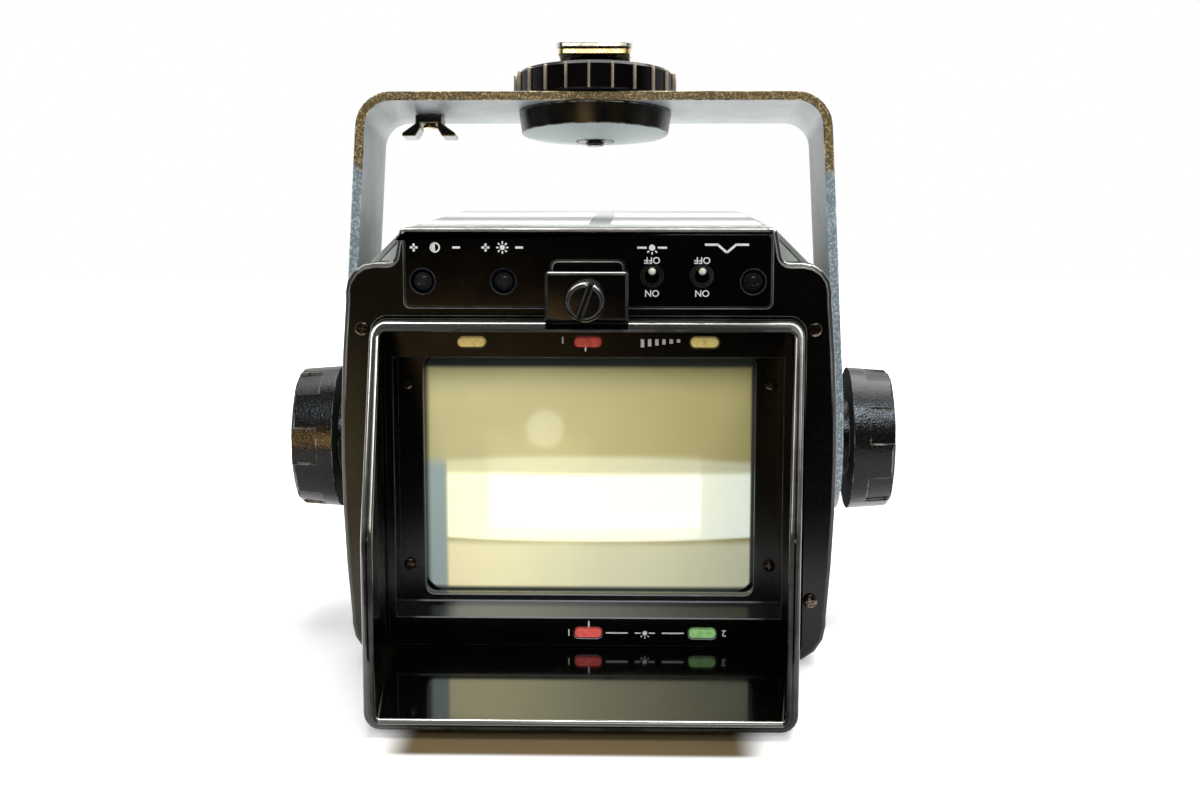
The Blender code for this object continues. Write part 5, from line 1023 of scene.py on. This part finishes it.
dressed("hood_shell", "hood", hood_black, 0.0013, steps=5,
        marks={"wear": lip_highlight_and_dull_rim})
dressed("hood_lock_tab", "hood", hood_black, 0.0004, steps=3)


# Thumbscrew of the hood
# A black knob, turned in one piece with its neck and slotted across its end. It clamps the
# hood's tab to the frame's boss.
thumb_black = black_finish("thumbscrew_black", (0.003, 0.003, 0.003), (0.006, 0.006, 0.005), 0.20,
                           (0.20, 0.20, 0.19), wear=0.25)
dressed("hood_thumbscrew", "hood_screw", thumb_black, 0.0003)


# Yoke and pivots
# A bent steel strip in speckled blue-grey paint, chipped to the primer along its edges. It
# turns on threaded bosses, between fibre washers.
YOKE_LEAN = math.radians(8)


def on_cut_edge(face):
    """Faces across the strip, where the punch left them rough."""
    across = Vector((0, math.cos(YOKE_LEAN), -math.sin(YOKE_LEAN)))
    return abs(face.normal.dot(across)) > 0.6


yoke = Finish("yoke_blue_grey_paint")
cut_edge = yoke.mark("cut_edge")
yoke_cloud = yoke.step(yoke.grain(0.03, 4.0), 0.35, 0.65)
speckle = yoke.step(yoke.grain(0.0010, 3.0, 0.7), 0.50, 0.62)
chips = yoke.edge() * yoke.step(yoke.grain(0.0028, 4.0, 0.75), 0.50, 0.56)
chips = chips.over(cut_edge * yoke.step(yoke.grain(0.0016, 4.0, 0.8), 0.64, 0.70))
chips = chips.over(yoke.step(yoke.grain(0.0022, 4.0, 0.7), 0.74, 0.77))
rust = yoke.step(yoke.grain(0.012), 0.42, 0.58)
flat_shade = yoke.mix(yoke_cloud, tone(142, 150, 154), tone(168, 174, 176))
# Higher up the cut edges take a painted warm reflection, lower down a painted cold blue-grey one;
# chips above are rusty.
lit_and_worn_above = yoke.step(yoke.axis("Z") + (yoke_cloud - 0.5) * 0.006, 0.1435, 0.1475)
fleck = yoke.step(yoke.grain(0.0009, 4.0, 0.8), 0.57, 0.64)
cold_reflection_shade = yoke.mix(speckle, tone(112, 128, 136), tone(164, 178, 184))
warm_reflection_shade = yoke.mix(speckle, tone(92, 76, 44), tone(160, 138, 92))
edge_shade = yoke.mix(lit_and_worn_above, yoke.mix(fleck, cold_reflection_shade, tone(222, 236, 238)),
                      yoke.mix(fleck, warm_reflection_shade, tone(226, 208, 150)))
yoke_shade = yoke.mix(cut_edge, flat_shade, edge_shade)
rusty = yoke.mix(rust, tone(222, 206, 160), tone(70, 50, 26))
yoke_shade = yoke.mix(chips, yoke_shade, yoke.mix(lit_and_worn_above, tone(205, 212, 210), rusty))
yoke_paint = yoke.end(colour=yoke_shade, rough=0.36 + speckle * 0.12, metal=chips * 0.3,
                      height=speckle * 0.4 - chips, depth=0.00005)
dressed("yoke_bracket", "yoke", yoke_paint, 0.0004, marks={"cut_edge": on_cut_edge})

brass = bare_metal("turned_brass", (0.72, 0.52, 0.24), (0.42, 0.28, 0.12), 0.28)
fibre_sheet = Finish("fibre_washer")
fibres = fibre_sheet.grain(0.0008, 4.0, 0.7)
fibre = fibre_sheet.end(colour=fibre_sheet.mix(fibres, (0.10, 0.05, 0.03), (0.18, 0.10, 0.06)),
                        rough=0.6 + fibres * 0.2, height=fibres, depth=0.00005)
steel = bare_metal("bright_steel", (0.60, 0.61, 0.61), (0.34, 0.34, 0.33), 0.26)
for hand in ("left", "right"):
    painted_node("pivot_boss_" + hand, brass)
    painted_node("friction_washer_" + hand, fibre)
    painted_node("tilt_stud_" + hand, steel)


# Tilt knobs
# Two big clamp knobs, moulded black with a fine crinkle, each with raised grip pads round its
# side. They turn on studs and clamp the yoke to the cabinet.
crinkle = Finish("knob_crinkle")
folds = crinkle.cells(0.00055, "SMOOTH_F1")
folds_fine = crinkle.grain(0.0004, 3.0, 0.7)
knob_rub = crinkle.edge() * crinkle.step(crinkle.grain(0.004, 4.0, 0.7), 0.42, 0.58)
knob_shade = crinkle.mix(crinkle.step(folds_fine, 0.46, 0.62), (0.0015, 0.0017, 0.0015),
                         (0.012, 0.012, 0.009))
inner_side = crinkle.mark("inner_side")
knob_crinkle = crinkle.end(colour=crinkle.mix(knob_rub * 0.7, knob_shade, (0.30, 0.30, 0.28)),
                           rough=0.15 + folds_fine * 0.12 + inner_side * 0.6,
                           height=folds + folds_fine * 0.8, depth=0.00008, shine=0.22)


def on_inner_side(face):
    """The dull faces that look at the yoke."""
    return face.normal.x * face.center.x < 0 and abs(face.normal.x) > 0.3


for hand in ("left", "right"):
    knobs_only.objects.link(dressed("tilt_knob_" + hand, hand + "_clamp",
                                    knob_crinkle, 0.00022,
                                    marks={"inner_side": on_inner_side}))


# Swivel flange and its centre screw
# A turned flange under the yoke's bar, black with a bare, shallow cone as its foot, and the
# black head of the screw that holds the shoe's stem.
def on_flange_foot(face):
    """The flange's shallow cone, which is left bare."""
    along = Vector((0, math.sin(YOKE_LEAN), math.cos(YOKE_LEAN)))
    return face.normal.dot(along) < -0.6


flange = Finish("flange_black_and_bare")
bare_foot = flange.mark("bare_foot")
spun_marks = flange.grain(0.0006, 3.0, 0.6)
smears = flange.step(flange.grain(0.010, 3.0), 0.45, 0.70)
flange_rim = flange.edge() * flange.step(flange.grain(0.004, 4.0, 0.7), 0.40, 0.60)
flange_shade = flange.mix(smears, (0.003, 0.003, 0.0025), (0.008, 0.006, 0.003))
foot_shade = flange.mix(spun_marks, tone(150, 160, 162), tone(186, 194, 194))
flange_shade = flange.mix(bare_foot, flange_shade, foot_shade)
flange_grey = flange.end(colour=flange.mix(flange_rim * 0.5, flange_shade, tone(176, 182, 180)),
                         metal=bare_foot * 0.3, rough=0.26 + bare_foot * 0.17 + smears * 0.06,
                         shine=0.25, height=spun_marks * bare_foot, depth=0.00002)
flange_only.objects.link(dressed("swivel_flange", "yoke", flange_grey, 0.0004,
                                 marks={"bare_foot": on_flange_foot}))
dressed("swivel_centre_screw", "shoe", thumb_black, 0.0002)


# Lock wheel
# A black wheel with a collar and ribs round its rim, bored for the shoe's stem. It clamps the
# shoe, and its ribs are pale tan in patches, as wear and as painted highlights.
WHEEL_RADIUS, WHEEL_HEIGHT, WHEEL_COLLAR = 0.0272, 0.0098, 0.0033
WHEEL_FOOT, WHEEL_FOOT_BEVEL = 0.1116, 0.0006
WHEEL_SHOULDER = ((0.0, 0.0016), (0.0010, 0.0005), (0.0030, 0.0))
WHEEL_BORE, COLLAR_RADIUS = 0.0063, 0.0118
WHEEL_SIDES, WHEEL_TURN = 88, math.radians(5.3)
RIDGES, RIDGE_WIDTH, RIDGE_PROUD = 22, 0.0008, 0.0009
RIDGE_SHORTER, RIDGE_LOWER, RIDGE_ROUNDING = 0.0014, 0.0004, RIDGE_WIDTH * 0.42

pivot_low, pivot_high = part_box("pivot_boss_left")
on_yoke = (Matrix.Translation((0, 0, (pivot_low.z + pivot_high.z) / 2))
           @ Matrix.Rotation(-YOKE_LEAN, 4, "X"))
wheel_black = black_finish("wheel_black", (0.0015, 0.0015, 0.0015), (0.004, 0.0035, 0.003), 0.18,
                           (0.52, 0.44, 0.31), wear=1.3, shine=0.12, mirrors=False)
wheel_top = WHEEL_FOOT + WHEEL_HEIGHT
drum = WHEEL_RADIUS - RIDGE_PROUD
wheel_profile = [(WHEEL_BORE, WHEEL_FOOT), (drum - WHEEL_FOOT_BEVEL, WHEEL_FOOT),
                 (drum, WHEEL_FOOT + WHEEL_FOOT_BEVEL)]
wheel_profile += [(drum - inwards, wheel_top - down) for inwards, down in WHEEL_SHOULDER]
wheel_profile += [(COLLAR_RADIUS, wheel_top), (COLLAR_RADIUS, wheel_top + WHEEL_COLLAR),
                  (WHEEL_BORE, wheel_top + WHEEL_COLLAR)]
ridge = rounded_block("wheel_ridge", RIDGE_PROUD * 2, RIDGE_WIDTH, WHEEL_HEIGHT - RIDGE_SHORTER,
                      RIDGE_ROUNDING)
wheel = ringed("lock_wheel_ridged", lathe("lock_wheel_drum", wheel_profile, WHEEL_SIDES), ridge,
               RIDGES, drum, WHEEL_FOOT + WHEEL_HEIGHT / 2 - RIDGE_LOWER, wheel_black)
wheel.data.transform(on_yoke @ Matrix.Rotation(WHEEL_TURN, 4, "Z"))
settled(wheel, "shoe_lock", wheel_black, ["lock_wheel"])


# Camera shoe
# A steel plate that slides into a camera's mount, over a brass pad, on a blackened stem that
# passes through the wheel and the bar. It turns with the stem.
BRIGHT_FROM = 0.170

shoe_only = shared_lamps(
    "mirrored_in_the_shoe",
    mirrored_lamp("shoe_lamp", (0.0, -0.75, 0.42), (0, 0, 0.17), (0.5, 0.16), 1.3,
                  (1.0, 0.93, 0.78)))
worn_brass = bare_metal("worn_brass", (0.95, 0.78, 0.42), (0.55, 0.38, 0.16), 0.25)
worn_steel = bare_metal("worn_steel", (0.82, 0.81, 0.76), (0.45, 0.43, 0.38), 0.24, BRIGHT_FROM)
shoe_only.objects.link(dressed("shoe_plate", "shoe", worn_steel, 0.0003))
shoe_only.objects.link(dressed("shoe_brass_pad", "shoe", worn_brass, 0.0003))


# Cable clip
# A bent black strip of brass under the yoke's bar, held by one rivet, that would hold a cable.
# Its paint is worn through on its toes.
clip_black = black_finish("clip_black", (0.006, 0.006, 0.005), (0.02, 0.016, 0.009), 0.26,
                          (0.55, 0.42, 0.18), wear=0.8)
dressed("cable_clip", "yoke", clip_black, 0.0003)
painted_node("clip_rivet", brass)


# Rear connector
# A round plated connector with a square flange, set in the rear panel's hole, and eight pins
# in its middle.
connector_metal = bare_metal("connector_plating", (0.58, 0.58, 0.56), (0.35, 0.34, 0.31), 0.3)
dressed("rear_connector", "housing", connector_metal, 0.0002)


# Cross-head screws
# Small domed steel screws with a cross recess: four in the frame, four in the screen surround,
# six that hold the rear panel to the cover. No two stopped at the same turn.

# Shares are of the head's radius for the cross's arms, and of the dome's height for the rest.
HEAD_BACK, HEAD_SIDES, DOME_STEPS = -0.002, 32, 6
DOME_RIM_SHARE, CROSS_FLOOR_SHARE, CROSS_TALL_SHARE = 0.2, 0.35, 1.5
ARM_LENGTH_SHARE, ARM_HALF_WIDTH_SHARE = 0.62, 0.13


def screws_recipe():
    """Geometry Nodes: a head with its cross cut out, put on every point at its own turn."""
    recipe, given, keys = new_group("cross_head_screws", {
        "Points": "Geometry", "Head": "Object", "Cross": "Object", "Seed": "Int",
        "Finish": "Material"})
    head, cross = [recipe.add("GeometryNodeObjectInfo", None, {"Object": given[name]},
                              out="Geometry") for name in ("Head", "Cross")]
    cut = recipe.add("GeometryNodeMeshBoolean", {"operation": "DIFFERENCE", "solver": "EXACT"},
                     {"Mesh 1": head, "Mesh 2": cross})
    turn = recipe.add("FunctionNodeRandomValue", {"data_type": "FLOAT"},
                      {"Min": 0.0, "Max": math.pi / 2, "Seed": given["Seed"]}, out="Value")
    turned = recipe.add("ShaderNodeCombineXYZ", None, {"Y": turn})
    placed = recipe.add("GeometryNodeInstanceOnPoints", None,
                        {"Points": given["Points"], "Instance": cut, "Rotation": turned})
    return close_group(recipe, placed, given["Finish"]), keys


screw_tree, screw_inputs = screws_recipe()


def screws(name, places, radius, tall, faces_front, finish, nodes, seed):
    """Cross-head screws at the given places, as one mesh; tall is the dome's height."""
    out = -1 if faces_front else 1
    rim = tall * DOME_RIM_SHARE
    dome = [(radius * math.cos(a), (tall - rim) * math.sin(a) + rim)
            for a in (math.pi / 2 * k / DOME_STEPS for k in range(DOME_STEPS))]
    head_mesh = lathe(name + "_head", [(0, HEAD_BACK), (radius, HEAD_BACK), *dome, (0, tall)],
                      HEAD_SIDES)
    head_mesh.transform(Matrix.Rotation(math.radians(-90 * out), 4, "X"))
    wide, thin = radius * ARM_LENGTH_SHARE, radius * ARM_HALF_WIDTH_SHARE
    outline = [(thin, wide), (-thin, wide), (-thin, thin), (-wide, thin), (-wide, -thin),
               (-thin, -thin), (-thin, -wide), (thin, -wide), (thin, -thin), (wide, -thin),
               (wide, thin), (thin, thin)]
    floor = out * tall * CROSS_FLOOR_SHARE
    cross_mesh = prism(name + "_cross", [(x, floor, z) for x, z in outline],
                       (0, out * tall * CROSS_TALL_SHARE, 0))
    points = bpy.data.meshes.new(name)
    points.from_pydata(places, [], [])
    piece = put_in_scene(name, points)
    head = bpy.data.objects.new(name + "_head", head_mesh)
    cross = bpy.data.objects.new(name + "_cross", cross_mesh)
    grow(piece, screw_tree, screw_inputs, {"Head": head, "Cross": cross, "Seed": seed,
                                           "Finish": finish})
    settled(piece, "housing", finish, nodes)
    piece.data.shade_smooth()
    piece.data.set_sharp_from_angle(angle=SMOOTHED_WITHIN)
    bpy.data.objects.remove(head)
    bpy.data.objects.remove(cross)


def screw_place(node, tall):
    """Where a CAD screw's dome starts."""
    low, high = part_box(node)
    return ((low.x + high.x) / 2, low.y + tall, (low.z + high.z) / 2)


blued = Finish("blued_screw_steel")
blueing = blued.step(blued.grain(0.0012, 3.0), 0.35, 0.65)
screw_blued = blued.end(colour=blued.mix(blueing, (0.05, 0.035, 0.022), (0.17, 0.13, 0.10)),
                        metal=0.9 + blueing * 0.1, rough=0.16 + blueing * 0.06,
                        height=blueing, depth=0.00001)
FRONT_SCREW_DOME = 0.0008
for group, seed in (("frame_screw", 4), ("bezel_screw", 9)):
    names = [f"{group}_{index}" for index in range(1, 5)]
    low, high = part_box(names[0])
    screws(group + "s", [screw_place(name, FRONT_SCREW_DOME) for name in names],
           (high.x - low.x) / 2, FRONT_SCREW_DOME, True, screw_blued, names, seed)

REAR_SCREW_INSET, UPPER_SCREW_REACH = 0.0065, 0.044
REAR_SCREW_RADIUS, REAR_SCREW_DOME = 0.0026, 0.0011
panel_low, panel_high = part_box("rear_panel")
lower_reach = panel_high.x - REAR_SCREW_INSET
screws("rear_panel_screws", [
    (x * reach, panel_high.y, z) for x in (-1, 0, 1)
    for reach, z in ((lower_reach, panel_low.z + REAR_SCREW_INSET),
                     (UPPER_SCREW_REACH, panel_high.z - REAR_SCREW_INSET))],
    REAR_SCREW_RADIUS, REAR_SCREW_DOME, False, screw_blued, (), 2)
